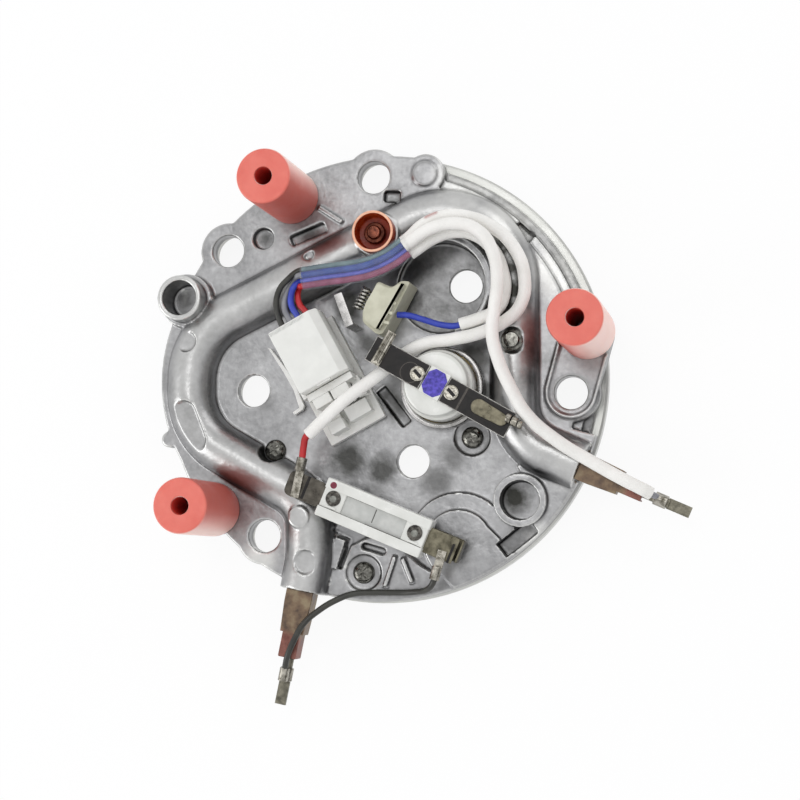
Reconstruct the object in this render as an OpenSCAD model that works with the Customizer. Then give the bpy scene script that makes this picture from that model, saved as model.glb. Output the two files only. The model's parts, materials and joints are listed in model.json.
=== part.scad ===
// Heating element plate of a steam iron boiler, shown from its wiring side.
// The origin is the centre of the chamber disc's flat rest face. +Z points to the wiring side.

/* [Chamber disc] */
// Radius of the pale disc under the casting
disc_r = 62; // [61:0.5:66]
// Thickness of the disc
disc_t = 5; // [4:0.5:7]
// Width of the bevel round the disc's upper edge
disc_bevel = 0.6; // [0.2:0.1:1]

/* [Casting] */
// Thickness of the casting at its flat face
casting_t = 5; // [4:0.5:7]
// Setback of the casting's edge from the disc's edge
casting_inset = 0.5; // [0.3:0.1:1.5]
// Width of each step along the right-hand rim
rim_step_w = 2.5; // [1.5:0.1:3]
// Depth of the floor inside the element's loop, below the flat face
floor_drop = 2; // [1:0.25:2.5]
// Radius of the lugs round the bolt holes
lug_r = 8; // [7:0.25:8.5]
// Radius of the bolt holes
bolt_hole_r = 4.5; // [3.5:0.1:5]
// Extra radius of the disc's holes under the bolt holes
bolt_hole_play = 1.2; // [0.2:0.1:1.4]
// Outer radius of the tall cup boss on the left
cup_r = 6.3; // [5.8:0.1:6.8]
// Wall of both cup bosses
cup_wall = 1.5; // [1:0.1:2]
// Height of the tall cup boss above the flat face
cup_h = 9; // [6:0.5:12]
// Outer radius of the low cup boss on the right
low_cup_r = 7.2; // [6.5:0.1:7.6]
// Height of the low cup boss above the flat face
low_cup_h = 3; // [2:0.5:5]
// Inner radius of the bowl that the element bends round
bowl_r = 12.6; // [11:0.2:13]
// Thickness of the bowl's raised lip
bowl_lip_t = 1.6; // [1:0.1:1.8]
// Height of the bowl's lip above the flat face
bowl_lip_h = 2.5; // [1.5:0.25:4]

/* [Heating element] */
// Width of the cast ridge over the element
ridge_w = 13.4; // [12:0.2:14]
// Height of the ridge's crown above the flat face
ridge_h = 6; // [5.2:0.2:7]
// Outside diameter of the element's sheath
sheath_d = 6.4; // [6:0.1:6.8]
// Wall of the sheath
sheath_wall = 0.7; // [0.5:0.05:1]
// Diameter of the cold pins and of the coil between them
core_d = 2.6; // [2:0.1:2.8]
// Length of each cold pin inside the casting
pin_inside = 6; // [3:0.5:7]
// Length of sheath that stands out of the casting
sheath_out = 3; // [2:0.25:4]
// Thickness of the bead that seals each sheath end
seal_t = 1.2; // [0.8:0.1:1.6]

/* [Element terminals] */
// Outside width of the shroud at its root
shroud_w = 7.6; // [7.4:0.1:8.4]
// Sheet thickness of the shroud
shroud_t = 0.5; // [0.4:0.05:0.6]
// Outside width of the shroud's narrow end
shroud_end_w = 5; // [4.6:0.1:5.6]
// Length of the shroud's wide part
shroud_wide_l = 11.6; // [8:0.2:14]
// Length of the shroud's narrow part
shroud_narrow_l = 6.8; // [4:0.2:8]
// Bare length of pin between the shroud and the crimp
bare_pin_l = 2.8; // [1.5:0.1:4]
// Length of the crimp behind the shroud
end_crimp_l = 3.6; // [3:0.2:5]
// Width of the flat tab at the pin's end
tab_w = 3; // [2.8:0.1:4]
// Thickness of the flat tab
tab_t = 0.8; // [0.6:0.1:1.2]
// Length of the flat tab
tab_l = 6; // [4:0.5:8]

/* [Standoffs] */
// Outside diameter of the silicone standoffs
standoff_d = 15; // [13:0.5:16]
// Height of the standoffs
standoff_h = 30; // [20:1:36]
// Bore of the standoffs
standoff_bore_d = 4.7; // [4:0.1:5.5]
// Diameter of the cast spigot that each standoff sits on
spigot_d = 6.6; // [6:0.1:8]
// Height of the spigot
spigot_h = 5; // [3:0.5:7]
// Clearance round the spigot
spigot_play = 0.15; // [0.1:0.05:0.3]

/* [Disc limiter] */
// Radius of the limiter's metal cap
cap_r = 11.4; // [10.6:0.1:11.8]
// Height of the metal cap
cap_h = 4.5; // [3.5:0.25:5]
// Sheet thickness of the metal cap
cap_t = 0.4; // [0.3:0.05:0.6]
// Radius of the limiter's ceramic body
ceramic_r = 9.6; // [9:0.1:10]
// Height of the ceramic body above the cap's floor
ceramic_h = 13.5; // [11:0.5:15]
// Width of the two terminal blades
blade_w = 7.3; // [6.3:0.1:8]
// Thickness of the blades
blade_t = 0.8; // [0.6:0.1:1]
// Length of the left-hand blade from the middle of the limiter
blade_left_l = 20; // [14:0.5:21]
// Length of the right-hand blade from the middle of the limiter
blade_right_l = 23.5; // [16:0.5:24]
// Gap between the blades' inner ends
blade_gap = 6.4; // [4:0.2:6.8]
// Distance between the two blade rivets
rivet_pitch = 10.5; // [9.5:0.1:12]
// Head radius of the hollow rivets
rivet_r = 2.1; // [1.7:0.1:2.3]

/* [Bar cut-out] */
// Length of the ceramic bar
bar_l = 31; // [28:0.5:33]
// Width of the ceramic bar
bar_w = 10.8; // [10:0.1:11.2]
// Height of the ceramic bar
bar_h = 6; // [5:0.25:7]
// Wall left round the bar's open channel
bar_wall = 2.8; // [2.4:0.1:3]
// Depth of the channel in the bar's top
bar_channel = 3; // [2:0.25:3.5]
// Width of the bar's terminal tabs
bar_tab_w = 7; // [6:0.1:7.6]
// Sheet thickness of the tabs, leaves and bracket
bar_sheet = 0.6; // [0.5:0.05:0.8]
// Height of the cast ribs that carry the bar, above the flat face
bar_seat_h = 4; // [3.6:0.1:5]

/* [Connector] */
// Width of the four-way housing
conn_w = 14.7; // [14:0.1:16]
// Length of the housing
conn_l = 19; // [17:0.5:20]
// Height of the housing
conn_h = 10; // [8:0.5:11]
// Height of the tray under the housing
tray_h = 7; // [5:0.5:8]
// Distance between neighbouring contacts
contact_pitch = 2.5; // [2.3:0.1:3]

/* [Sensor] */
// Height of the cream sensor holder above the floor
holder_h = 14; // [10:0.5:16]
// Diameter of the ribbed sensor beside the holder
sensor_d = 3.2; // [2.6:0.1:3.4]
// Length of the ribbed sensor
sensor_l = 7; // [5:0.5:8]

/* [Fasteners] */
// Head radius of the cross-head screws
screw_head_r = 3; // [2.6:0.1:3.4]
// Height of the screw heads
screw_head_h = 1.8; // [1.4:0.1:2.4]
// Shank radius of the screws
screw_shank_r = 1.5; // [1.2:0.1:1.8]
// Outer radius of the orange sealing cup
seal_cup_r = 5.7; // [5:0.1:6]
// Height of the sealing cup
seal_cup_h = 5; // [3.5:0.5:6]
// Wall of the sealing cup
seal_cup_wall = 0.8; // [0.6:0.1:1.2]

/* [Leads] */
// Diameter of the white glass fibre sleeves
sleeve_d = 3.6; // [3:0.1:3.8]
// Diameter of the clear sleeve round the four leads
bundle_d = 5.4; // [4.6:0.1:5.6]
// Diameter of the thin leads
lead_d = 1.7; // [1.3:0.1:1.8]

/* [Hidden] */
$fn = 64;

// Small overlap that lets cuts run clear of the faces they open
cut = 0.5;

// Third of the length of the collars along the element, and how far they stand proud
joint = 0.1;
proud = 0.01;

// Heights of the casting's main levels
face_z = disc_t + casting_t;
floor_z = face_z - floor_drop;
crown_z = face_z + ridge_h;
ridge_r = ridge_w / 2;
element_z = crown_z - ridge_r + 1;
bowl_floor_z = floor_z - 1.5;
casting_r = disc_r - casting_inset;
rim_steps = 3;
rim_band_w = rim_steps * rim_step_w;
rim_from = -16;
rim_to = 76;

// Places on the plate, seen from the wiring side
hole_top = [-2, 55.6];
hole_left = [-43.9, 36.4];
hole_right = [52.4, -5.4];
hole_bottom = [-32.8, -43.5];
hole_pocket = [-36.7, -3];
hole_bowl = [23.3, 24.8];
hole_floor = [8.7, -23.3];
standoff_top_at = [-25.3, 50.9];
standoff_right_at = [57, 10.9];
standoff_left_at = [-47.4, -36.1];
cup_at = [-55.3, 22.3];
low_cup_at = [38.7, -34.3];
bowl_at = [16.9, 24.3];
rim_pad_at = [12.4, 56.1];
limiter_at = [17.4, -3.4];
limiter_turn = -30;
bar_at = [0.4, -38.6];
bar_aside = -0.3;
bar_turn = -22.6;
conn_at = [-17, 5.9];
conn_turn = 28.5;
sealing_cup_at = [0.2, 38.4];
crown_stud_at = [37.3, 8.4];
floor_screw_at = [25.1, -17];
rim_screw_at = [-4.7, -53.6];
pocket_screw_at = [-30.2, -19.8];
holder_side_x = -3.3;
sensor_y = 17.5;
sensor_turn = 63;
clip_at = [-8.1, 17.4];
clip_turn = -69.5;

// Outline of the casting: the bulge and the nub on its left, and the pad at its top
bulge_at = [-18.2, 0];
bulge_r = 45;
nub_at = [-60.8, -16.4];
nub_r = 2.2;
rim_pad_r = 5.5;
rim_pad_top_r = 3.4;
rim_pad_rise = 0.6;
cup_foot = 1.2;
lug_border_w = 0.8;
lug_border_h = 0.6;

// Round part of the floor outside the element's loop, and the terraces beside it
basin_at = [22, -36];
basin_r = 19;
terrace_at = [21.5, -46];
terrace_turn = -45;
terrace_run = 24;
terrace_neck = 0.3;
terrace_r = [14, 9.3];
terrace_rise = 1;
terrace_rim = 0.4;

// Directions between which the bowl has its lip
lip_from = -72;
lip_to = 104;

// Ribs beside the bar: place, length and turn of each
fins = [[[2.8, -53.3], 8.6, 71], [[7.6, -53], 7, -68]];
fin_t = 1.1;
fin_h = 1.2;
bar_rib_x = [-8, 10];
bar_rib_t = 3;

// Flats on the ridge: place, radius and depth below the crown
crown_flats = [[[-54.2, 10.4], 2.9, 1.2], [[-19.7, -50.8], 3.3, 0.9]];
long_flat_at = [-53.2, -13.4];
long_flat_turn = -68.7;
long_flat_l = 8;
long_flat_r = 3.6;
long_flat_drop = 1.1;
stud_flat_r = 3.6;

// Boss on the ridge beside the bar, with the pit and the peg on the ridge's upper side
boss_at = [-21.5, -38.6];
boss_r = 2.9;
boss_rise = 0.5;
pit_at = [-19.2, 33.5];
pit_r = 1.4;
peg_at = [-16.4, 33.6];
peg_r = 1;
peg_drop = 0.8;

// Low ribs on the flat face: place, turn, length, width and height
face_ribs = [[[-14.2, 45.5], -34, 8, 1.2, 0.8], [[-12.3, -48.3], 72, 8.4, 3, 0.8]];

// Straight recesses: place, turn, length, width and floor height
deep_z = disc_t + 1;
shallow_z = face_z - 2.2;
slots = [
    [[-20.8, 40.4], 21, 10.5, 3, shallow_z],
    [[3.2, 50], -4, 4.6, 3.2, shallow_z],
    [[4.6, 45.4], 82, 7, 2, shallow_z],
    [[37.6, -44.4], 38, 11, 4.6, deep_z],
    [[33.4, 42.6], -44, 8.2, 1.3, deep_z],
    [[39.4, 38.6], -43, 6, 3.6, deep_z],
    [[3.3, -8.2], -53, 12.4, 3.2, deep_z],
    [[-9.8, -48.5], 68, 8.8, 1, shallow_z],
    [[-10.8, -43.1], -25, 6, 1, shallow_z],
];
round_pocket_at = [-33.7, 39.6];
round_pocket_r = 3;
oblong_at = [-1.9, -47.1];
oblong_turn = -16.6;
oblong_l = 5.2;
oblong_r = 0.9;
screw_pad_r = 5;
pocket_screw_r = 3.6;

// Floors of the cups' sockets, and the room cut for the shrouds
cup_floor = 4;
low_cup_floor = 2.5;
low_cup_extra = 0.4;
exit_play = 0.6;
exit_bite = 0.2;

// Wall of disc left round each bolt hole
ear_wall = 2;

// Seats and levels that follow from the sizes above
standoff_seat_r = 7;
screw_recess = 0.8;
screw_bite = casting_t - floor_drop - screw_recess - 0.4;
bracket_z = face_z + bar_seat_h;
bar_z = bracket_z + bar_sheet;
leaf_z = bar_z + bar_h - bar_channel;
leaf_w = bar_w - 2 * bar_wall - 0.2;
tab_top_z = leaf_z + bar_sheet;
blade_z = floor_z + ceramic_h;
blade_top_z = blade_z + blade_t;
tray_z = floor_z;
conn_z = tray_z + tray_h;
contact_z = conn_z + conn_h * 0.46;
seal_seat_z = crown_z + 0.5;
seal_seat_margin = 0.5;
sheath_bore = sheath_d / 2 - sheath_wall;
shroud_skirt = 2.4;
crimp_wall = 0.5;
crimp_fit = 0.05;
crimp_x = shroud_wide_l + shroud_narrow_l + bare_pin_l;
stud_shank_r = 1.2;
stud_bite = 1.2;
snap_rise = 0.3;
snap_t = 0.3;
push_pin_r = 1.4;
rivet_shank_r = 1.1;
rivet_grip = 1.6;
bar_rivet_x = bar_l / 2 - 3.4;
bar_rivet_r = 1.9;
contact_t = 0.8;
contact_reach = 1;

// Route of the element in plan: corner points and the radius at each corner
route = [[-21.6, -58.6], [-19.8, -49.8], [-19.8, -34.2], [-54.4, -14.1], [-54.4, 12.9],
    [37.3, 56.5], [37.3, -17.5], [55, -25.3]];
route_r = [0, 20, 12, 19, 20, 20.4, 14, 0];
route_end = len(route) - 1;

// Routes of the leads: points chosen along the middle of each lead
bundle_route = [[-19.6, 26.4, 19.6], [-16, 26.8, 19.9], [-12, 27.2, 20.2], [-7, 27.6, 20.4],
    [-1, 28.6, 20.4], [4.6, 30.8, 20.4], [9.2, 33.8, 20.4]];
outer_route = concat(fan(-1.9, -1.2), [
    [14, 40, 19.6], [19.4, 42, 19.8], [26, 41.6, 19.8], [32.8, 38.6, 19.8], [38.6, 32.8, 19.8],
    [41.4, 24.4, 19.6], [40, 17, 19.4], [35.4, 12.8, 19.2], [28.8, 10.2, 18.4], [21.6, 8.8, 18.2],
    [14, 7.8, 18.2], [7.4, 4.4, 18.2], [2.2, 0.2, 18.8], [-7.6, -7.8, 22.3], [-17.8, -16.4, 19.8]]);
middle_route = concat(fan(1.9, -1.2), [
    [16.4, 36.2, 18.8], [21.8, 37.8, 18.6], [27.4, 37, 18.6], [32.4, 33, 18.4], [35.2, 27, 18.2],
    [35.6, 20.6, 18], [33.4, 16.4, 17.8], [28.6, 14.2, 17.6], [23.6, 12.8, 17.4]]);
inner_route = concat(fan(0, 2.4), [
    [16.4, 38, 23.4], [23.6, 39.2, 23.4], [29.8, 36.8, 23.4], [33.4, 31.2, 23.4], [34.6, 24, 23.4],
    [33.8, 16, 23.6], [33.2, 9.6, 23.8], [34.8, 2.4, 23.8], [38, -5, 23.8], [42, -12, 23],
    [49.4, -18.8, 19.6], [58.6, -24.6, 16.4], [67, -29.4, 16.1], [72, -32, 15.6], [73.8, -33, 14.8]]);
blue_route = concat(onward(middle_route), [
    [18.6, 12.8, 17.6], [13.4, 14.4, 18], [9.4, 15.6, 18], [6.4, 15.9, 17.6]]);
red_route = concat(onward(outer_route), [
    [-19.2, -19.6, 19.5], [-19.6, -22.6, 19.5], [-20, -24.4, 19.5]]);
inner_lead_route = concat(onward(inner_route), [[75.4, -33.9, 13.4], [77.2, -35, 12.95]]);
black_route = [
    [16.9, -54.4, 19.5], [16.4, -56.2, 19.3], [14.6, -58, 17.6], [10.6, -58.8, 14.6], [4.6, -59, 12.8],
    [-1, -59, 12.4], [-7.2, -59.4, 12.4], [-12, -61.2, 12.9], [-16.2, -63.8, 13.8], [-20, -67.2, 15],
    [-22.6, -71.4, 15.1], [-24.6, -76, 15], [-25.5, -78.6, 13.9], [-25.9, -80.2, 13.1],
    [-26.4, -82.2, 12.95]];
plug_bends = [
    [[-23.6, 26.2, 20.3], [-26.2, 23.2, 20.1], [-27, 18.6, 19.8]],
    [[-22.4, 26, 18.7], [-24.2, 22.6, 19.1], [-24.9, 18.6, 19.4]],
    [[-21.8, 24.2, 20.4], [-22.8, 21.6, 20.2], [-22.7, 18.8, 19.8]],
    [[-20.9, 24, 18.7], [-21.2, 21.4, 19.1], [-20.4, 19, 19.4]],
];

// Vector helpers for the element's route
function unit(v) = v / norm(v);
function leg(i) = unit(route[i + 1] - route[i]);
function heading(v) = atan2(v[1], v[0]);
function wrap(a) = a > 180 ? a - 360 : a < -180 ? a + 360 : a;
function turn(i) = wrap(heading(leg(i)) - heading(leg(i - 1)));
function trim(i) = i == 0 || i == route_end ? 0 : route_r[i] * tan(abs(turn(i)) / 2);
function left_of(v) = [-v[1], v[0]];
function arc_centre(i) = route[i] - leg(i - 1) * trim(i) + left_of(leg(i - 1)) * sign(turn(i)) * route_r[i];
function arc_point(i, s) =
    arc_centre(i) - route_r[i] * sign(turn(i)) * left_of(leg(i - 1)) * cos(s * turn(i))
    + route_r[i] * leg(i - 1) * sin(s * abs(turn(i)));

// Points of the element's loop, with its corners rounded
loop_points = [for (i = [1 : route_end - 1]) for (s = [0 : 0.25 : 1]) arc_point(i, s)];

// Direction of a lead at one of its points, and a point beside the lead there
function tangent(p, i) = unit(p[min(i + 1, len(p) - 1)] - p[max(i - 1, 0)]);
function beside(p, i, s, u) =
    let (t = tangent(p, i), side = unit(cross(t, [0, 0, 1])))
    p[i] + s * side + u * cross(side, t);

// First two points of a sleeve that leaves the far end of the bundle
function fan(s, u) =
    let (last = len(bundle_route) - 1, start = beside(bundle_route, last, s, u))
    [start, start + 1.5 * tangent(bundle_route, last)];

// First two points of a lead that comes out of the end of a sleeve
function onward(p) =
    let (last = len(p) - 1)
    [p[last], p[last] + tangent(p, last)];

// Route of one of the four leads between the bundle and its way in the housing
function in_housing(i, y) =
    let (x = (i - 1.5) * contact_pitch, c = cos(conn_turn), s = sin(conn_turn))
    [conn_at[0] + x * c - y * s, conn_at[1] + x * s + y * c, contact_z];
function plug_route(i) =
    let (start = beside(bundle_route, 0, i < 2 ? -1 : 1, i % 2 == 0 ? 1 : -1))
    concat([start, start - tangent(bundle_route, 0)], plug_bends[i],
        [in_housing(i, conn_l / 2 + 1.5), in_housing(i, contact_reach)]);

// Round lead swept along its route
module lead(p, d, sides = 8) {
    rings = len(p);
    points = [for (i = [0 : rings - 1]) for (k = [0 : sides - 1])
        beside(p, i, d / 2 * cos(k * 360 / sides), d / 2 * sin(k * 360 / sides))];
    walls = [for (i = [0 : rings - 2]) for (k = [0 : sides - 1])
        [i * sides + k, (i + 1) * sides + k, (i + 1) * sides + (k + 1) % sides, i * sides + (k + 1) % sides]];
    first = [for (k = [0 : sides - 1]) k];
    last = [for (k = [sides - 1 : -1 : 0]) (rings - 1) * sides + k];
    polyhedron(points, concat([first, last], walls));
}

// Children placed upright on the plate at a plan point and height
module at(p, z = 0, turn = 0) {
    translate([p[0], p[1], z])
        rotate([0, 0, turn])
            children();
}

// Flat shape of two equal circles joined by their tangents
module capsule(a, b, r) {
    translate(a)
        circle(r);
    translate(b)
        circle(r);
    translate(a)
        rotate(heading(b - a))
            translate([0, -r])
                square([norm(b - a), 2 * r]);
}

// Sweeps a symmetric section along the element's route. The first child is the section, and the second
// is the slightly larger section of the short collars that join its straight and round stretches.
module along_route(extend = 0) {
    for (i = [0 : route_end - 1]) {
        before = i == 0 ? extend : -joint;
        after = i == route_end - 1 ? extend : -joint;
        straight(route[i] + leg(i) * (trim(i) - before), i,
            norm(route[i + 1] - route[i]) - trim(i) - trim(i + 1) + before + after)
            children(0);
    }
    for (i = [1 : route_end - 1]) {
        at(arc_centre(i), 0, turn(i) > 0 ? heading(leg(i - 1)) - 90 : heading(leg(i)) + 90)
            rotate_extrude(angle = abs(turn(i)))
                translate([route_r[i], 0])
                    children(0);
        straight(route[i] - leg(i - 1) * (trim(i) + 2 * joint), i - 1, 3 * joint)
            children(1);
        straight(route[i] + leg(i) * (trim(i) - joint), i, 3 * joint)
            children(1);
    }
}

// Straight stretch of the section, from a point along one leg of the route
module straight(start, i, span) {
    at(start)
        rotate([90, 0, heading(leg(i)) + 90])
            linear_extrude(span)
                children();
}

// Children at an exit of the element, with +X pointing out along the terminal
module at_exit(i) {
    out = i == 0 ? -leg(0) : leg(route_end - 1);
    translate([route[i][0], route[i][1], element_z])
        rotate([0, 0, heading(out)])
            children();
}

// Ring in the YZ plane that starts at x = 0 and runs along +X
module tube_x(l, r, bore = 0) {
    rotate([90, 0, 90])
        linear_extrude(l)
            difference() {
                circle(r);
                if (bore > 0)
                    circle(bore);
            }
}

// All through holes of the plate
bolt_holes = [hole_top, hole_left, hole_right, hole_bottom];
inner_holes = [hole_pocket, hole_bowl, hole_floor];

module chamber_disc() {
    hole = bolt_hole_r + bolt_hole_play;
    color("gainsboro")
        difference() {
            union() {
                rotate_extrude()
                    polygon([[0, 0], [disc_r - disc_bevel, 0], [disc_r, disc_bevel],
                        [disc_r, disc_t - disc_bevel], [disc_r - disc_bevel, disc_t], [0, disc_t]]);
                for (p = bolt_holes)
                    at(p)
                        cylinder(r = hole + ear_wall, h = disc_t);
            }
            for (p = concat(bolt_holes, inner_holes))
                at(p, -cut)
                    cylinder(r = hole, h = disc_t + 2 * cut);
        }
}

// Wedge from the origin between two directions
module wedge(from, to) {
    reach = 2 * disc_r;
    polygon(concat([[0, 0]], [for (s = [0 : 0.25 : 1]) let (a = from + s * (to - from))
        [reach * cos(a), reach * sin(a)]]));
}

// Outline of the casting at its flat face
module face_plan() {
    difference() {
        union() {
            circle(casting_r);
            translate(bulge_at)
                circle(bulge_r);
            translate(nub_at)
                circle(nub_r);
        }
        wedge(rim_from, rim_to);
    }
    circle(disc_r - rim_band_w);
    for (p = bolt_holes)
        translate(p)
            circle(lug_r);
    for (p = [standoff_top_at, standoff_left_at])
        translate(p)
            circle(standoff_seat_r);
    capsule(hole_right, standoff_right_at, standoff_seat_r);
    translate(rim_pad_at)
        circle(rim_pad_r);
    translate(cup_at)
        circle(cup_r + cup_foot);
}

// Half-round section of the ridge, widened by the given margin
module ridge_section(margin = 0) {
    r = ridge_r + margin;
    intersection() {
        translate([0, crown_z - ridge_r]) {
            circle(r, $fn = 32);
            translate([-r, -ridge_r])
                square([2 * r, ridge_r]);
        }
        translate([-r, disc_t + 1 - margin])
            square([2 * r, crown_z]);
    }
}

// Ring section of the element at its level in the ridge
module element_section(r, bore = 0) {
    translate([0, element_z])
        difference() {
            circle(r, $fn = 32);
            if (bore > 0)
                circle(bore, $fn = 32);
        }
}

// Box placed by its middle in plan and its base
module block(size) {
    translate([-size[0] / 2, -size[1] / 2, 0])
        cube(size);
}

// Stepped and lugged block that the casting starts from
module casting_block() {
    for (i = [1 : rim_steps - 1])
        at([0, 0], disc_t)
            cylinder(r = disc_r - i * rim_step_w, h = casting_t * i / rim_steps);
    at([0, 0], disc_t)
        linear_extrude(casting_t)
            face_plan();
}

// Terraces at the lower right, stepped round one centre and run out to the rim
module terraces() {
    tops = [floor_z + terrace_rise, face_z + terrace_rise / 2];
    bases = [floor_z - terrace_rise, floor_z - terrace_rise - cut];
    intersection() {
        union() {
            for (i = [0, 1])
                at(terrace_at, bases[i], terrace_turn)
                    linear_extrude(tops[i] - bases[i]) {
                        circle(terrace_r[i]);
                        translate([0, terrace_neck - terrace_r[i]])
                            square([terrace_run, 2 * (terrace_r[i] - terrace_neck)]);
                    }
        }
        at([0, 0], disc_t)
            cylinder(r = casting_r - terrace_rim, h = crown_z);
    }
}

// Raised lip round the far side of the bowl
module bowl_lip() {
    intersection() {
        at(bowl_at, bowl_floor_z)
            difference() {
                cylinder(r = bowl_r + bowl_lip_t, h = face_z + bowl_lip_h - bowl_floor_z);
                translate([0, 0, -cut])
                    cylinder(r = bowl_r, h = crown_z);
            }
        at(bowl_at)
            linear_extrude(crown_z)
                wedge(lip_from, lip_to);
    }
}

// Ribs under the bar and the two fins beside it
module bar_ribs() {
    for (x = bar_rib_x)
        at(bar_at, disc_t, bar_turn)
            translate([x, 0, 0])
                block([bar_rib_t, bar_w - 2 * bar_wall, bracket_z - disc_t]);
    for (f = fins)
        at(f[0], floor_z, f[2])
            block([f[1], fin_t, face_z + fin_h - floor_z]);
}

// Raised border round the right-hand lug, which stops short of the standoff
module lug_border() {
    r = standoff_seat_r;
    height = face_z + lug_border_h - floor_z;
    difference() {
        at([0, 0], floor_z)
            linear_extrude(height)
                difference() {
                    capsule(hole_right, standoff_right_at, r);
                    capsule(hole_right, standoff_right_at, r - lug_border_w);
                }
        at(standoff_right_at, floor_z - cut)
            cylinder(d = standoff_d + 2 * lug_border_w, h = height + 2 * cut);
    }
}

// Ridge over the element, with the flats and the pit in its surface
module ridge() {
    difference() {
        along_route() {
            ridge_section();
            ridge_section(proud);
        }
        at(long_flat_at, crown_z - long_flat_drop, long_flat_turn)
            linear_extrude(ridge_h)
                capsule([-long_flat_l / 2, 0], [long_flat_l / 2, 0], long_flat_r);
        for (f = crown_flats)
            at(f[0], crown_z - f[2])
                cylinder(r = f[1], h = ridge_h);
        at(crown_stud_at, crown_z - screw_recess)
            cylinder(r = stud_flat_r, h = ridge_h);
        at(pit_at, element_z + sheath_d / 2)
            cylinder(r = pit_r, h = ridge_h);
    }
}

// Cups, pads, spigots and ribs that stand on the plate
module casting_bosses() {
    at(cup_at, disc_t)
        cylinder(r = cup_r, h = casting_t + cup_h);
    at(cup_at, disc_t)
        cylinder(r = cup_r + cup_foot, h = casting_t + cup_h / 3);
    at(low_cup_at, disc_t)
        cylinder(r = low_cup_r, h = casting_t + low_cup_h);
    for (p = [standoff_top_at, standoff_right_at, standoff_left_at])
        at(p, disc_t)
            cylinder(d = spigot_d, h = casting_t + spigot_h);
    at(rim_pad_at, disc_t)
        cylinder(r = rim_pad_top_r, h = casting_t + rim_pad_rise);
    at(sealing_cup_at, disc_t)
        cylinder(r = seal_cup_r + seal_seat_margin, h = seal_seat_z - disc_t);
    at(boss_at, face_z)
        cylinder(r = boss_r, h = ridge_h + boss_rise);
    at(peg_at, face_z)
        cylinder(r = peg_r, h = ridge_h - peg_drop);
    for (r = face_ribs)
        at(r[0], floor_z, r[1])
            block([r[2], r[3], face_z + r[4] - floor_z]);
}

module casting_solid() {
    difference() {
        casting_block();
        at([0, 0], floor_z)
            linear_extrude(casting_t)
                union() {
                    polygon(loop_points);
                    translate(basin_at)
                        circle(basin_r);
                }
        at(bowl_at, bowl_floor_z)
            cylinder(r = bowl_r, h = casting_t);
    }
    terraces();
    ridge();
    bowl_lip();
    bar_ribs();
    lug_border();
    casting_bosses();
}

// Shallow pockets, slots and screw seats sunk into the casting
module casting_recesses() {
    at(round_pocket_at, shallow_z)
        cylinder(r = round_pocket_r, h = casting_t);
    for (s = slots)
        at(s[0], s[4], s[1])
            block([s[2], s[3], casting_t]);
    at(oblong_at, shallow_z, oblong_turn)
        linear_extrude(casting_t)
            capsule([-oblong_l / 2, 0], [oblong_l / 2, 0], oblong_r);
    for (p = [floor_screw_at, rim_screw_at])
        at(p, screw_seat_z(p))
            cylinder(r = screw_pad_r, h = casting_t);
    at(pocket_screw_at, floor_z)
        cylinder(r = pocket_screw_r, h = crown_z);
    for (i = [0, route_end])
        at_exit(i)
            translate([-exit_bite, -shroud_w / 2 - exit_play, -sheath_d / 2])
                cube([2 * shroud_wide_l, shroud_w + 2 * exit_play, crown_z]);
}

// Height of the seat under each screw head
function screw_seat_z(p) =
    p == rim_screw_at ? face_z - screw_recess : p == floor_screw_at ? floor_z - screw_recess : floor_z;

module heater_casting() {
    color("silver")
        difference() {
            casting_solid();
            casting_recesses();
            for (p = concat(bolt_holes, inner_holes))
                at(p, disc_t - cut)
                    cylinder(r = bolt_hole_r, h = crown_z);
            along_route(cut) {
                element_section(sheath_d / 2 + 3 * proud);
                element_section(sheath_d / 2 + 4 * proud);
            }
            at(cup_at, disc_t + cup_floor)
                cylinder(r = cup_r - cup_wall, h = casting_t + cup_h);
            at(low_cup_at, disc_t + low_cup_floor)
                cylinder(r = low_cup_r - cup_wall - low_cup_extra, h = casting_t + low_cup_h);
            for (p = [floor_screw_at, rim_screw_at, pocket_screw_at])
                at(p, screw_seat_z(p) - screw_bite)
                    cylinder(r = screw_shank_r, h = casting_t);
            at(crown_stud_at, crown_z - screw_recess - stud_bite)
                cylinder(r = stud_shank_r, h = ridge_h);
            at(sealing_cup_at, seal_seat_z - stud_bite)
                cylinder(r = stud_shank_r, h = ridge_h);
        }
}

module element_sheath() {
    color("dimgray")
        along_route(sheath_out) {
            element_section(sheath_d / 2, sheath_bore);
            element_section(sheath_d / 2 + proud, sheath_bore - proud);
        }
}

module element_filling() {
    color("ivory")
        along_route(sheath_out - seal_t) {
            element_section(sheath_bore - 2 * proud, core_d / 2 + 2 * proud);
            element_section(sheath_bore - proud, core_d / 2 + proud);
        }
}

module resistance_coil() {
    color("slategray")
        along_route(-pin_inside) {
            element_section(core_d / 2);
            element_section(core_d / 2 + proud);
        }
}

// Cold pin with the flat tab at its outer end
module cold_pin() {
    pin_l = crimp_x + end_crimp_l + 0.6;
    translate([-pin_inside, 0, 0])
        tube_x(pin_inside + pin_l, core_d / 2);
    translate([pin_l - 0.4, -tab_w / 2, -tab_t / 2])
        cube([tab_l + 0.4, tab_w, tab_t]);
}

module cold_pin_bottom() {
    color("darkgray")
        at_exit(0)
            cold_pin();
}

module cold_pin_right() {
    color("darkgray")
        at_exit(route_end)
            cold_pin();
}

module end_seal() {
    translate([sheath_out - seal_t, 0, 0])
        tube_x(seal_t, sheath_bore, core_d / 2);
}

module end_seal_bottom() {
    color("white")
        at_exit(0)
            end_seal();
}

module end_seal_right() {
    color("white")
        at_exit(route_end)
            end_seal();
}

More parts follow.
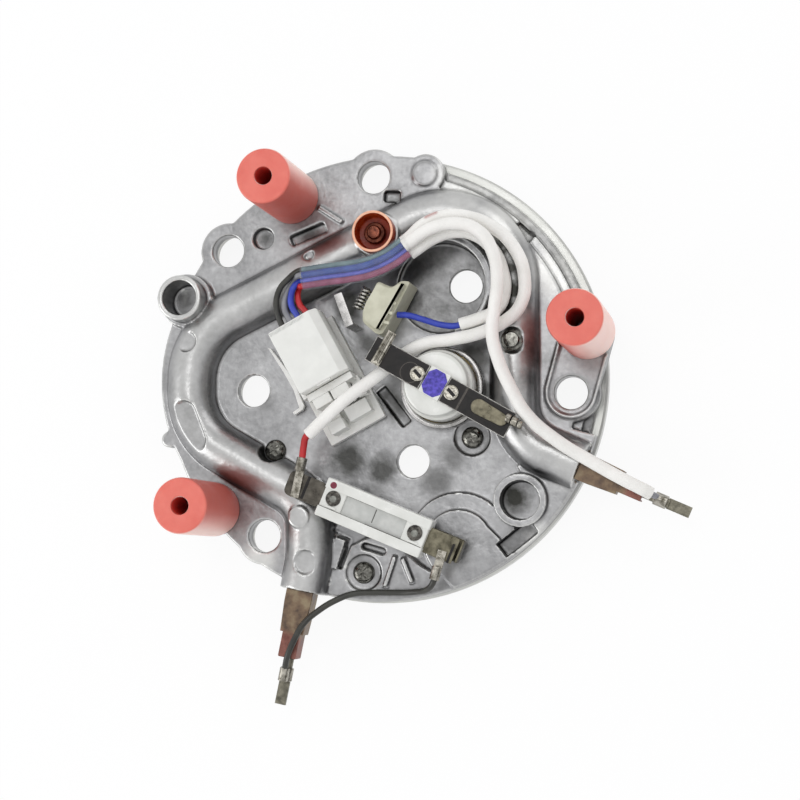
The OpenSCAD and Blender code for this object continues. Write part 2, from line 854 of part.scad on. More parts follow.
// Plan of the shroud, parallel over the sheath and tapering to its narrow end
module shroud_plan(inset) {
    wide = shroud_w / 2 - inset;
    narrow = shroud_end_w / 2 - inset;
    far = shroud_wide_l + shroud_narrow_l + (inset > 0 ? cut : 0);
    near = inset > 0 ? -cut : -0.15;
    step = shroud_wide_l - inset;
    half = [[far, narrow], [step, narrow], [step, wide - 0.5], [sheath_out + 0.2, wide], [near, wide]];
    polygon(concat(half, [for (i = [len(half) - 1 : -1 : 0]) [half[i][0], -half[i][1]]]));
}

// Folded channel that covers the pin, open underneath
module shroud() {
    difference() {
        translate([0, 0, -shroud_skirt])
            linear_extrude(shroud_skirt + sheath_d / 2 + shroud_t)
                shroud_plan(0);
        translate([0, 0, -shroud_skirt - cut])
            linear_extrude(shroud_skirt + cut + sheath_d / 2)
                shroud_plan(shroud_t);
    }
}

module shroud_bottom() {
    color("sienna")
        at_exit(0)
            shroud();
}

module shroud_right() {
    color("sienna")
        at_exit(route_end)
            shroud();
}

// Double barrel that clamps the pin below and the lead above
module end_crimp() {
    lift = core_d / 2 + crimp_wall + lead_d / 2;
    translate([crimp_x, 0, 0])
        difference() {
            union() {
                tube_x(end_crimp_l, core_d / 2 + crimp_wall);
                translate([0, 0, lift])
                    tube_x(end_crimp_l, lead_d / 2 + crimp_wall);
            }
            translate([-cut, 0, 0])
                tube_x(end_crimp_l + 2 * cut, core_d / 2);
            translate([-cut, 0, lift])
                tube_x(end_crimp_l + 2 * cut, lead_d / 2 + crimp_fit);
        }
}

module end_crimp_bottom() {
    color("lightgray")
        at_exit(0)
            end_crimp();
}

module end_crimp_right() {
    color("lightgray")
        at_exit(route_end)
            end_crimp();
}

module standoff(p) {
    color("salmon")
        at(p, face_z)
            difference() {
                cylinder(d = standoff_d, h = standoff_h);
                translate([0, 0, -cut])
                    cylinder(d = standoff_bore_d, h = standoff_h + 2 * cut);
                translate([0, 0, -cut])
                    cylinder(d = spigot_d + 2 * spigot_play, h = spigot_h + spigot_play + cut);
            }
}

module standoff_top() {
    standoff(standoff_top_at);
}

module standoff_right() {
    standoff(standoff_right_at);
}

module standoff_left() {
    standoff(standoff_left_at);
}

// Cup with its rim rolled in over the ceramic's flange
module limiter_cap() {
    neck = ceramic_r + 0.3;
    color("silver")
        at(limiter_at, floor_z)
            rotate_extrude()
                polygon([[0, 0], [cap_r, 0], [cap_r, cap_h], [neck, cap_h], [neck, cap_h - cap_t],
                    [cap_r - cap_t, cap_h - cap_t], [cap_r - cap_t, cap_t], [0, cap_t]]);
}

// Snap disc, slightly dished, on the cap's floor
module limiter_disc() {
    r = cap_r - cap_t - 0.3;
    color("goldenrod")
        at(limiter_at, floor_z + cap_t)
            rotate_extrude()
                polygon([[0, snap_rise], [r, 0], [r, snap_t], [0, snap_rise + snap_t]]);
}

module limiter_push_pin() {
    color("white")
        at(limiter_at, floor_z + cap_t + snap_rise + snap_t)
            cylinder(r = push_pin_r, h = ceramic_h / 2);
}

module limiter_body() {
    low = cap_t + snap_rise + snap_t + 0.3;
    flange = cap_r - cap_t - 0.1;
    bore_top = cap_t + snap_rise + snap_t + ceramic_h / 2 + 0.3;
    color("white")
        at(limiter_at, floor_z, limiter_turn)
            difference() {
                union() {
                    rotate_extrude()
                        polygon([[0, bore_top], [push_pin_r + 0.15, bore_top], [push_pin_r + 0.15, low],
                            [flange, low], [flange, cap_h - cap_t], [ceramic_r, cap_h - cap_t],
                            [ceramic_r, ceramic_h], [0, ceramic_h]]);
                    translate([0, 0, ceramic_h - cut])
                        block([blade_gap - 0.3, blade_w, blade_t + cut]);
                }
                for (s = [-1, 1])
                    translate([s * rivet_pitch / 2, 0, ceramic_h - rivet_grip])
                        cylinder(r = rivet_shank_r, h = rivet_grip + cut);
            }
}

// Blade with its rivet hole, side -1 for left and 1 for right
module blade(side, reach) {
    color("black")
        at(limiter_at, blade_z, limiter_turn)
            difference() {
                translate([side > 0 ? blade_gap / 2 : -reach, -blade_w / 2, 0])
                    cube([reach - blade_gap / 2, blade_w, blade_t]);
                translate([side * rivet_pitch / 2, 0, -cut])
                    cylinder(r = rivet_shank_r, h = blade_t + 2 * cut);
            }
}

module blade_left() {
    blade(-1, blade_left_l);
}

module blade_right() {
    blade(1, blade_right_l);
}

// Hollow rivet whose head rests at z = 0
module rivet(head_r, shank_l) {
    rim = 0.3;
    head_h = 0.6;
    bore_r = 0.9;
    bore_z = 0.2;
    rotate_extrude()
        polygon([[0, -shank_l], [rivet_shank_r, -shank_l], [rivet_shank_r, 0], [head_r, 0], [head_r, rim],
            [head_r - rim, head_h], [bore_r, head_h], [bore_r, bore_z], [0, bore_z]]);
}

module blade_rivets() {
    color("khaki")
        for (s = [-1, 1])
            at(limiter_at, blade_top_z, limiter_turn)
                translate([s * rivet_pitch / 2, 0, 0])
                    rivet(rivet_r, blade_t + rivet_grip);
}

// Folded crimp across the left blade, with a groove between its two bars
module blade_crimp_left() {
    from_end = 3.2;
    aside = 1.7;
    fold_w = 2.4;
    fold_h = 1.2;
    color("gainsboro")
        at(limiter_at, blade_top_z, limiter_turn)
            translate([from_end - blade_left_l, aside, 0])
                difference() {
                    block([fold_w, blade_w + aside, fold_h]);
                    translate([0, 0, fold_h / 2])
                        block([fold_w / 2, blade_w, fold_h]);
                }
}

// Flat pad on the right blade with the barrel of its crimp beside it
module blade_crimp_right() {
    pad_near = 6.4;
    pad_far = 2.6;
    pad_y = 0.6;
    pad_r = 1.7;
    pad_t = 0.6;
    barrel_near = 2;
    barrel_l = 5;
    barrel_y = 1.4;
    color("darkkhaki")
        at(limiter_at, blade_top_z, limiter_turn) {
            linear_extrude(pad_t)
                capsule([blade_right_l - pad_near, pad_y], [blade_right_l - pad_far, pad_y], pad_r);
            translate([blade_right_l - barrel_near, barrel_y, lead_d / 2 + crimp_wall])
                tube_x(barrel_l, lead_d / 2 + crimp_wall, lead_d / 2 + crimp_fit);
        }
}

// Strip under the bar, with its right end turned up
module bar_bracket() {
    setback = 3;
    reach = 9.5;
    side = 0.3;
    upturn = 3.6;
    width = bar_tab_w - 2 * side;
    color("darkkhaki")
        at(bar_at, bracket_z, bar_turn) {
            translate([setback - bar_l / 2, -width / 2, 0])
                cube([bar_l - setback + reach, width, bar_sheet]);
            translate([bar_l / 2 + reach - bar_sheet, -width / 2, 0])
                cube([bar_sheet, width, upturn]);
        }
}

module bar_body() {
    bed = 8.8;
    color("white")
        at(bar_at, bar_z, bar_turn)
            difference() {
                translate([0, bar_aside, 0])
                    block([bar_l, bar_w, bar_h]);
                translate([0, 0, bar_h - bar_channel])
                    block([2 * bed, bar_w - 2 * bar_wall, bar_channel + cut]);
                translate([0, 0, bar_h - bar_channel])
                    block([bar_l + 2 * cut, leaf_w + 0.2, bar_sheet + 0.05]);
                for (s = [-1, 1])
                    translate([s * bar_rivet_x, 0, bar_h - bar_channel - rivet_grip])
                        cylinder(r = rivet_shank_r, h = bar_channel + rivet_grip + cut);
            }
}

// Contact leaf with the wide tab that leaves the bar's end
module bar_leaf(side, tab_l) {
    half_gap = 0.4;
    over = 1;
    aside = 0.4;
    color("tan")
        at(bar_at, leaf_z, bar_turn)
            difference() {
                union() {
                    translate([side > 0 ? half_gap : -bar_l / 2 - over, -leaf_w / 2, 0])
                        cube([bar_l / 2 + over - half_gap, leaf_w, bar_sheet]);
                    translate([side > 0 ? bar_l / 2 + half_gap : -bar_l / 2 - tab_l, 0, 0])
                        translate([0, -bar_tab_w / 2 - aside, 0])
                            cube([tab_l - half_gap, bar_tab_w, bar_sheet]);
                }
                translate([side * bar_rivet_x, 0, -cut])
                    cylinder(r = rivet_shank_r, h = bar_sheet + 2 * cut);
            }
}

module bar_leaf_left() {
    bar_leaf(-1, 11);
}

module bar_leaf_right() {
    bar_leaf(1, 6);
}

module bar_rivets() {
    color("silver")
        for (s = [-1, 1])
            at(bar_at, bar_z + bar_h, bar_turn)
                translate([s * bar_rivet_x, 0, 0])
                    rivet(bar_rivet_r, bar_channel + rivet_grip);
}

// Tongue on a tab with a barrel round the lead
module tab_crimp(tongue, barrel_at, barrel_l) {
    tongue_w = 2.4;
    tongue_t = 0.6;
    translate([0, -tongue_w / 2, 0])
        cube([tongue, tongue_w, tongue_t]);
    translate([barrel_at, 0, lead_d / 2 + crimp_wall])
        tube_x(barrel_l, lead_d / 2 + crimp_wall, lead_d / 2 + crimp_fit);
}

module bar_crimp_left() {
    color("silver")
        at([-19.6, -22.6], tab_top_z, -102.5)
            tab_crimp(11, 0, 3.6);
}

module bar_crimp_right() {
    color("silver")
        at([18.8, -47.8], tab_top_z, -105.8)
            tab_crimp(5, 4.4, 3.6);
}

// Cross-head screw with a domed head
module screw() {
    side_h = screw_head_h / 2;
    flat_r = screw_head_r * 0.6;
    slot_w = 0.8;
    difference() {
        rotate_extrude()
            polygon([[0, -screw_bite], [screw_shank_r, -screw_bite], [screw_shank_r, 0], [screw_head_r, 0],
                [screw_head_r, side_h], [flat_r, screw_head_h], [0, screw_head_h]]);
        for (a = [0, 90])
            rotate([0, 0, a])
                translate([0, 0, side_h])
                    block([2 * flat_r, slot_w, screw_head_h]);
    }
}

module fixing_screws() {
    color("lightgray")
        for (p = [floor_screw_at, rim_screw_at, pocket_screw_at])
            at(p, screw_seat_z(p), 20)
                screw();
}

// Domed head on a thin shank, whose head rests at the given height
module domed_stud(lift, side_h, shoulder_r, shoulder_h, top_h) {
    rotate_extrude()
        polygon([[0, -stud_bite], [stud_shank_r, -stud_bite], [stud_shank_r, lift], [screw_head_r, lift],
            [screw_head_r, lift + side_h], [shoulder_r, lift + shoulder_h], [0, lift + top_h]]);
}

module crown_stud() {
    color("silver")
        at(crown_stud_at, crown_z - screw_recess)
            domed_stud(lift = 0, side_h = 1.2, shoulder_r = 2.1, shoulder_h = 2.1, top_h = 2.4);
}

module sealing_cup() {
    hole = stud_shank_r + 0.1;
    inner = seal_cup_r - seal_cup_wall;
    color("chocolate")
        at(sealing_cup_at, seal_seat_z)
            rotate_extrude()
                polygon([[hole, 0], [seal_cup_r, 0], [seal_cup_r, seal_cup_h], [inner, seal_cup_h],
                    [inner, seal_cup_wall], [hole, seal_cup_wall]]);
}

module cup_screw() {
    color("rosybrown")
        at(sealing_cup_at, seal_seat_z)
            domed_stud(lift = seal_cup_wall, side_h = 1.2, shoulder_r = 2, shoulder_h = 2.4, top_h = 2.8);
}

module connector_housing() {
    color("whitesmoke")
        at(conn_at, conn_z, conn_turn)
            difference() {
                block([conn_w, conn_l, conn_h]);
                for (i = [0 : 3])
                    translate([(i - 1.5) * contact_pitch, 0, contact_z - conn_z - 1.05])
                        block([contact_pitch - 0.4, conn_l + 2 * cut, 2.1]);
            }
}

// Tray under the housing, with the header wall, its two latches and two stops in front
module connector_tray() {
    front = -conn_l / 2;
    side = -conn_w / 2;
    flange = 1.6;
    base_t = 2.4;
    base_reach = 14;
    wall_t = 1.4;
    header_t = 2;
    header_gap = 0.2;
    blocks = [
        [[side - flange, front - base_reach, 0], [conn_w + 1.5 * flange, conn_l + base_reach - 1, base_t]],
        [[side - flange, front, 0], [wall_t, conn_l - 5, tray_h + 0.6]],
        [[side + 0.4, front - header_t - header_gap, 0], [conn_w - 0.8, header_t, tray_h + 5.4]],
        [[-6.2, front - 5, 0], [5.2, 3, tray_h + 5]],
        [[-0.6, front - 5, 0], [5.2, 3, tray_h + 5]],
        [[side + 1, front - 12.5, 0], [4.6, 3.4, tray_h + 1.5]],
        [[-0.6, front - 11.5, 0], [7, 4.2, tray_h - 0.6]],
    ];
    color("gainsboro")
        at(conn_at, tray_z, conn_turn)
            difference() {
                union() {
                    block([conn_w - 2, conn_l - 3, tray_h]);
                    for (b = blocks)
                        translate(b[0])
                            cube(b[1]);
                }
                for (i = [0 : 3])
                    translate([(i - 1.5) * contact_pitch, front - 1.1, contact_z - tray_z - contact_t / 2])
                        block([contact_t, 3, contact_t]);
            }
}

module connector_contacts() {
    color("gold")
        for (i = [0 : 3])
            at(conn_at, contact_z - contact_t / 2, conn_turn)
                translate([(i - 1.5) * contact_pitch - contact_t / 2, -conn_l / 2 - 2.2, 0])
                    cube([contact_t, conn_l / 2 + 2.2 + contact_reach, contact_t]);
}

// Cream holder, cut from one outline
module sensor_holder() {
    outline = [[1.2, 25.1], [5.2, 23.2], [7.8, 25], [10.3, 24.6], [7.6, 19.6], [5.8, 16.2],
        [2.5, 10.4], [0.8, 10.6], [-3, 14], [-3, 17], [-2, 19.6], [-0.2, 22.4]];
    color("beige")
        at([0, 0], floor_z)
            linear_extrude(holder_h)
                polygon(outline);
}

// Ribbed sensor that lies along the holder's left side
module ribbed_sensor() {
    ribs = 5;
    rib = sensor_l / ribs;
    crest = rib * 0.6;
    color("silver")
        translate([holder_side_x - sensor_d / 2, sensor_y, floor_z + holder_h * 0.7])
            rotate([0, 90, sensor_turn])
                for (i = [0 : ribs - 1]) {
                    translate([0, 0, i * rib])
                        cylinder(d = sensor_d, h = crest);
                    translate([0, 0, i * rib + crest])
                        cylinder(d = sensor_d * 0.7, h = rib - crest);
                }
}

// Clip plate on one leg beside the sensor
module sensor_clip() {
    length = 9.6;
    width = 2.4;
    sheet = 0.8;
    height = holder_h - 2;
    color("silver")
        at(clip_at, floor_z, clip_turn) {
            translate([-length / 2, -width / 2, height - sheet])
                cube([length, width, sheet]);
            translate([length / 2 - sheet, -width / 2, 0])
                cube([sheet, width, height]);
        }
}

module bundle_sleeve() {
    color("slateblue")
        lead(bundle_route, bundle_d, 12);
}

module outer_sleeve() {
    color("whitesmoke")
        lead(outer_route, sleeve_d);
}

module middle_sleeve() {
    color("whitesmoke")
        lead(middle_route, sleeve_d);
}

module inner_sleeve() {
    color("whitesmoke")
        lead(inner_route, sleeve_d);
}

module red_lead() {
    color("red")
        lead(red_route, lead_d);
}

module blue_lead() {
    color("royalblue")
        lead(blue_route, lead_d);
}

module black_lead() {
    color("dimgray")
        lead(black_route, lead_d);
}

module inner_lead() {
    color("white")
        lead(inner_lead_route, lead_d);
}

module plug_lead_1() {
    color("black")
        lead(plug_route(0), lead_d);
}

module plug_lead_2() {
    color("darkslategray")
        lead(plug_route(1), lead_d);
}

module plug_lead_3() {
    color("royalblue")
        lead(plug_route(2), lead_d);
}

module plug_lead_4() {
    color("red")
        lead(plug_route(3), lead_d);
}

chamber_disc();
heater_casting();
element_sheath();
element_filling();
resistance_coil();
cold_pin_bottom();
cold_pin_right();
end_seal_bottom();
end_seal_right();
shroud_bottom();
shroud_right();
end_crimp_bottom();
end_crimp_right();
standoff_top();
standoff_right();
standoff_left();
limiter_cap();
limiter_disc();
limiter_push_pin();
limiter_body();
blade_left();
blade_right();
blade_rivets();
blade_crimp_left();
blade_crimp_right();
bar_bracket();
bar_body();
bar_leaf_left();
bar_leaf_right();
bar_rivets();
bar_crimp_left();
bar_crimp_right();
fixing_screws();
crown_stud();
sealing_cup();
cup_screw();
connector_housing();
connector_tray();
connector_contacts();
sensor_holder();
ribbed_sensor();
sensor_clip();
bundle_sleeve();
outer_sleeve();
middle_sleeve();
inner_sleeve();
red_lead();
blue_lead();
black_lead();
inner_lead();
plug_lead_1();
plug_lead_2();
plug_lead_3();
plug_lead_4();
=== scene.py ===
"""Looks of the heating element plate of a steam iron boiler, seen from its wiring side.

Sizes are in millimetres inside the helpers and become metres as they reach Blender.
"""
import json
import math
import bpy
from mathutils import Matrix, Vector


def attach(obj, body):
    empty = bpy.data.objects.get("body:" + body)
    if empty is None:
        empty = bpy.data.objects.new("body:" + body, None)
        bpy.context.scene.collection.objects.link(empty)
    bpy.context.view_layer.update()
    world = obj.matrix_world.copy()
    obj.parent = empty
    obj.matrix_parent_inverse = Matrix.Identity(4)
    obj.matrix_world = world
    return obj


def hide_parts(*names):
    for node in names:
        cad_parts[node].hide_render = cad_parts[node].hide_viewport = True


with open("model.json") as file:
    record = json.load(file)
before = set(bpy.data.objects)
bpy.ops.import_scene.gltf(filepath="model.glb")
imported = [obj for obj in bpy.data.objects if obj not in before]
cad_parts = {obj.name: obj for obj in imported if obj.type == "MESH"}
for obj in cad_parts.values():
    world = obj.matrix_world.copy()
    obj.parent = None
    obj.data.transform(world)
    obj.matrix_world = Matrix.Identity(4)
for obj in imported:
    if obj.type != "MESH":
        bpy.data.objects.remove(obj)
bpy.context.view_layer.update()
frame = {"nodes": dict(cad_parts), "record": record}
MM = 0.001

# Levels and places of the plate, as in the frame
FACE_Z = 10.0
FLOOR_Z = 8.0
CROWN_Z = 16.0


# Camera
def aim(position, target):
    """Camera matrix that looks from position to target with +Y upward in the picture."""
    back = (Vector(position) - Vector(target)).normalized()
    right = Vector((0, 1, 0)).cross(back).normalized()
    up = back.cross(right)
    turn = Matrix((right, up, back)).transposed().to_4x4()
    return Matrix.Translation(Vector(position) * MM) @ turn


def set_camera():
    data = bpy.data.cameras.new("photo camera")
    data.sensor_width = 36.0
    data.lens = 85.0
    data.clip_start = 0.01
    data.clip_end = 20.0
    camera = bpy.data.objects.new("photo camera", data)
    bpy.context.scene.collection.objects.link(camera)
    camera.matrix_world = aim((111.7, -53.9, 513.6), (4.4, -6.1, 5.0))
    bpy.context.scene.camera = camera


# Materials
def colour(hex_code):
    """Linear colour of an sRGB hex value."""
    parts = [int(hex_code[i:i + 2], 16) / 255 for i in (1, 3, 5)]
    return [c / 12.92 if c <= 0.04045 else ((c + 0.055) / 1.055) ** 2.4 for c in parts] + [1.0]


def add(tree, kind, values=None, **settings):
    """One node with its settings; values are numbers, colours or other nodes' sockets."""
    node = tree.nodes.new("ShaderNode" + kind)
    for name, value in settings.items():
        setattr(node, name, value)
    for name, value in (values or {}).items():
        socket = node.inputs[name]
        if isinstance(value, bpy.types.NodeSocket):
            tree.links.new(value, socket)
        else:
            socket.default_value = value
    return node


def surface(name, **values):
    """A new material with its shader; plain values go on the shader's own sockets."""
    made = bpy.data.materials.new(name)
    made.use_nodes = True
    tree = made.node_tree
    shader = tree.nodes["Principled BSDF"]
    for socket, value in values.items():
        shader.inputs[socket.replace("_", " ")].default_value = value
    return made, tree, shader


def ramp(tree, factor, *stops):
    """Colour ramp with (position, hex colour) stops."""
    node = add(tree, "ValToRGB", {"Fac": factor})
    elements = node.color_ramp.elements
    while len(elements) < len(stops):
        elements.new(0.5)
    for element, (place, hex_code) in zip(elements, stops):
        element.position = place
        element.color = colour(hex_code)
    return node.outputs["Color"]


def cloud(tree, place, size_mm, detail=3.0, rough=0.55, warp=0.0):
    """Soft noise whose blotches are about size_mm across."""
    node = add(tree, "TexNoise", {
        "Vector": place, "Scale": 1 / (size_mm * MM), "Detail": detail,
        "Roughness": rough, "Distortion": warp})
    return node.outputs["Fac"]


def spread(tree, value, low, high, start=0.3, end=0.7):
    """A value brought from start..end to low..high."""
    node = add(tree, "MapRange", {
        "Value": value, "From Min": start, "From Max": end, "To Min": low, "To Max": high})
    return node.outputs["Result"]


def relief(tree, height, depth_mm, strength=1.0, under=None):
    """Bump of the given depth, laid on another bump if one is given."""
    values = {"Height": height, "Distance": depth_mm * MM, "Strength": strength}
    if under is not None:
        values["Normal"] = under
    return add(tree, "Bump", values).outputs["Normal"]


def blend(tree, factor, first, second, way="MIX"):
    """Mix of two colours by a factor."""
    node = add(tree, "Mix", data_type="RGBA", blend_type=way)
    for index, value in ((0, factor), (6, first), (7, second)):
        if isinstance(value, bpy.types.NodeSocket):
            tree.links.new(value, node.inputs[index])
        else:
            node.inputs[index].default_value = value
    return node.outputs[2]


def sums(tree, way, first, second):
    """One arithmetic step on two values."""
    return add(tree, "Math", {0: first, 1: second}, operation=way).outputs[0]


def place_of(tree):
    return add(tree, "TexCoord").outputs["Object"]


def wave_scale(spacing):
    """Scale of a wave texture whose bands are this far apart."""
    return math.tau / 20 / spacing


def mottled(name, dark, pale, blotch, rough, grain, depth, **values):
    """A surface whose colour and roughness drift in blotches and whose grain stands up by depth."""
    made, tree, shader = surface(name, **values)
    place = place_of(tree)
    drift = cloud(tree, place, blotch)
    fine = cloud(tree, place, grain, 2.0)
    tree.links.new(ramp(tree, drift, (0.32, dark), (0.68, pale)), shader.inputs["Base Color"])
    tree.links.new(spread(tree, drift, *rough), shader.inputs["Roughness"])
    tree.links.new(relief(tree, fine, depth), shader.inputs["Normal"])
    return made


# Spots of painted shade on the low floor of the casting, in pockets, inside bosses and under the leads: where, how far
# out, and how strongly
FLOOR_SHADE_SPOTS = [
    ((-9.3, -22.8), 7.0, 0.85), ((0.5, -25.4), 6.0, 0.8), ((25.5, 4.6), 8.0, 0.85), ((30.0, -4.0), 5.0, 0.8),
    ((3.3, -8.2), 6.5, 0.75), ((-9.5, 20.5), 6.5, 0.9), ((-3.5, 9.0), 5.0, 0.75), ((9.5, 29.5), 9.0, 0.75),
    ((6.0, 22.0), 7.0, 0.7), ((-6.4, -50.4), 5.4, 0.5), ((33.4, 42.6), 3.6, 0.7), ((39.4, 38.6), 3.6, 0.75),
    ((37.6, -44.4), 5.2, 0.6), ((-33.7, 39.6), 3.4, 0.7), ((-20.8, 40.4), 4.6, 0.7), ((3.6, 48.0), 3.8, 0.7),
    ((-56.6, 22.6), 4.4, 0.85), ((36.4, -33.6), 6.0, 0.95), ((-16.0, 26.0), 5.0, 0.7), ((20.5, -22.0), 6.0, 0.55),
    ((15.3, -28.7), 6.0, 0.6), ((23.0, -45.2), 6.0, 0.5), ((3.7, -59.4), 6.0, 0.4), ((-1.4, -31.0), 5.0, 0.35),
    ((16.0, 19.5), 6.0, 0.5), ((-24.0, 6.0), 5.0, 0.35), ((-33.0, -6.0), 5.0, 0.3),
]
# Painted shade in the gaps between the sleeves, up to the crown
SLEEVE_GAP_SHADE = [((34.1, 34.2), 4.5, 0.95), ((37.0, 28.1), 4.5, 0.95), ((37.8, 21.8), 5.0, 0.97), ((37.3, 17.7), 5.0, 0.97),
        ((35.2, 14.7), 4.5, 0.9), ((23.5, 38.6), 4.0, 0.9), ((27.1, 36.8), 4.0, 0.9), ((29.5, 33.4), 4.0, 0.9),
        ((44.5, 4.0), 6.0, 0.7), ((43.0, -2.0), 5.0, 0.6)]
# Painted highlights on the casting: its upper right side and the lug at the lower left
PAINTED_HIGHLIGHTS = [((24.0, 53.0), 11.0, 0.75), ((38.0, 44.0), 12.0, 0.8), ((50.0, 29.0), 11.0, 0.75), ((-34.0, -50.0), 6.0, 0.7),
          ((52.0, -26.0), 7.0, 0.6), ((42.0, -44.0), 6.0, 0.6)]
# Red pen mark on the outer sleeve
PEN_MARKS = [((15.0 + 0.5 * k, 41.8 + 0.18 * k), 1.0, 0.9) for k in range(6)]


def spots(tree, place, wisps, places, level):
    """Share of dark in soft ragged spots round the given places."""
    dark = 0.0
    for (x, y), reach, share in places:
        spot = (x * MM, y * MM, level * MM)
        far = add(tree, "VectorMath", {0: place, 1: spot}, operation="DISTANCE").outputs["Value"]
        ragged = sums(tree, "ADD", far, sums(tree, "MULTIPLY", wisps, 6 * MM))
        shade = spread(tree, ragged, share, 0.0, (reach * 0.4 + 2.5) * MM, (reach + 3) * MM)
        dark = sums(tree, "MAXIMUM", dark, shade)
    return dark


def cast_alloy():
    # Pressure die-cast aluminium: a satin grey skin with faint flow marks, brighter on worn edges with a painted
    # highlight, with painted shade on steep flanks, in its corners, in the bowl, on spots of the low floor and between
    # the sleeves, and painted highlights on its crown and upper right side.
    made, tree, shader = surface("die-cast aluminium", Metallic=1.0)
    place = place_of(tree)
    geometry = add(tree, "NewGeometry").outputs
    facing = add(tree, "SeparateXYZ", {"Vector": geometry["Normal"]}).outputs["Z"]
    height = add(tree, "SeparateXYZ", {"Vector": place}).outputs["Z"]
    patches = cloud(tree, place, 13, 4.0, 0.55, 0.4)
    flecks = cloud(tree, place, 1.4, 2.0)
    wisps = cloud(tree, place, 5, 4.0, 0.62)
    tone = sums(tree, "ADD", sums(tree, "MULTIPLY", patches, 0.68), sums(tree, "MULTIPLY", flecks, 0.32))
    skin = ramp(tree, tone, (0.34, "#848485"), (0.48, "#989899"), (0.58, "#A3A3A4"), (0.7, "#B4B4B5"))
    # Painted shade: steep flanks are darkened
    steep_shade = spread(tree, facing, 1.0, 0.0, 0.62, 0.93)
    skin = blend(tree, sums(tree, "MULTIPLY", steep_shade, 0.25), skin, colour("#77787A"))
    # Painted highlight: the skin gets lighter towards the crown of the ridges
    crown = spread(tree, height, 0.0, 0.34, (FACE_Z + 3.5) * MM, CROWN_Z * MM)
    skin = blend(tree, crown, skin, colour("#E2E2DF"))
    # Painted highlights on the upper right side and on the lug
    skin = blend(tree, spots(tree, place, wisps, PAINTED_HIGHLIGHTS, FACE_Z), skin, colour("#D8D8D5"))
    # Sharp edges lighter: wear, with a painted highlight along them
    worn = spread(tree, geometry["Pointiness"], 0.0, 0.8, 0.515, 0.56)
    skin = blend(tree, worn, skin, colour("#DCDCD9"))
    # Painted shade in the inner corners
    corner = spread(tree, geometry["Pointiness"], 0.75, 0.0, 0.43, 0.485)
    skin = blend(tree, corner, skin, colour("#4A4A46"))
    # Only the low floor takes the spots of painted shade
    low = spread(tree, height, 1.0, 0.0, (FLOOR_Z + 0.6) * MM, (FACE_Z + 0.6) * MM)
    floor_shade = sums(tree, "MULTIPLY", spots(tree, place, wisps, FLOOR_SHADE_SPOTS, FLOOR_Z), low)
    # Painted shade in the bowl, darker towards its bottom
    bowl_shade = spread(tree, height, 0.5, 0.0, (FLOOR_Z - 1) * MM, (FLOOR_Z - 0.3) * MM)
    floor_shade = sums(tree, "MAXIMUM", floor_shade, sums(tree, "MULTIPLY", bowl_shade, spread(tree, wisps, 0.5, 1.3)))
    # Painted shade in the gaps between the sleeves
    dark = sums(tree, "MAXIMUM", floor_shade, spots(tree, place, wisps, SLEEVE_GAP_SHADE, CROWN_Z - 1))
    # All the painted shade takes the skin towards dark grey
    tree.links.new(blend(tree, dark, skin, colour("#2A2A26")), shader.inputs["Base Color"])
    tree.links.new(spread(tree, patches, 0.28, 0.4), shader.inputs["Roughness"])
    wavy = relief(tree, patches, 0.35)
    tree.links.new(relief(tree, flecks, 0.035, 1.0, wavy), shader.inputs["Normal"])
    return made


def moulded_silicone():
    # Salmon silicone with painted light: dark red painted shade on the side that faces the middle of the plate, a pale
    # painted reflection on its outer side, and a lighter top
    made, tree, shader = surface("salmon moulded silicone", Subsurface_Weight=0.12, Subsurface_Scale=0.3)
    shader.inputs["Subsurface Radius"].default_value = (0.004, 0.0012, 0.0008)
    place = place_of(tree)
    normal = add(tree, "NewGeometry").outputs["Normal"]
    across = add(tree, "VectorMath", {0: place, 1: (1, 1, 0)}, operation="MULTIPLY").outputs["Vector"]
    outward = add(tree, "VectorMath", {0: across}, operation="NORMALIZE").outputs["Vector"]
    facing_out_light = add(tree, "VectorMath", {0: normal, 1: outward}, operation="DOT_PRODUCT").outputs["Value"]
    drift = cloud(tree, place, 5)
    wander = sums(tree, "ADD", facing_out_light, sums(tree, "MULTIPLY", drift, 0.3))
    # Sides: dark red painted shade facing the plate's middle, pale painted reflection facing out
    side = ramp(tree, spread(tree, wander, 0.0, 1.0, -0.9, 0.6),
                (0.1, "#BC5A4F"), (0.34, "#C8675C"), (0.5, "#DC9289"), (0.66, "#EDB3A9"), (0.9, "#F6D2C8"))
    top = ramp(tree, drift, (0.3, "#DC6A5D"), (0.7, "#E47A6C"))
    # The top takes the lit salmon colour and the sides the shaded ramp: painted light
    lit_top = spread(tree, add(tree, "SeparateXYZ", {"Vector": normal}).outputs["Z"], 0.0, 1.0, 0.3, 0.8)
    tree.links.new(blend(tree, lit_top, side, top), shader.inputs["Base Color"])
    tree.links.new(spread(tree, drift, 0.42, 0.55), shader.inputs["Roughness"])
    tree.links.new(relief(tree, cloud(tree, place, 0.5, 2.0), 0.015), shader.inputs["Normal"])
    return made


def browned_sheet():
    # Thin steel channel over the pin: olive brown near the plate, tinted red towards its far end
    made, tree, shader = surface("heat-browned steel sheet", Metallic=0.55)
    place = place_of(tree)
    reach = add(tree, "VectorMath", {0: place}, operation="LENGTH").outputs["Value"]
    drift = cloud(tree, place, 3.5, 3.0)
    near = ramp(tree, drift, (0.32, "#4E4038"), (0.52, "#75624F"), (0.7, "#8C7E66"))
    end = ramp(tree, drift, (0.35, "#5C362E"), (0.65, "#8A5C52"))
    tree.links.new(blend(tree, spread(tree, reach, 0.0, 1.0, 0.0745, 0.0765), near, end), shader.inputs["Base Color"])
    tree.links.new(spread(tree, drift, 0.34, 0.5), shader.inputs["Roughness"])
    tree.links.new(relief(tree, cloud(tree, place, 0.5, 2.0), 0.02), shader.inputs["Normal"])
    return made


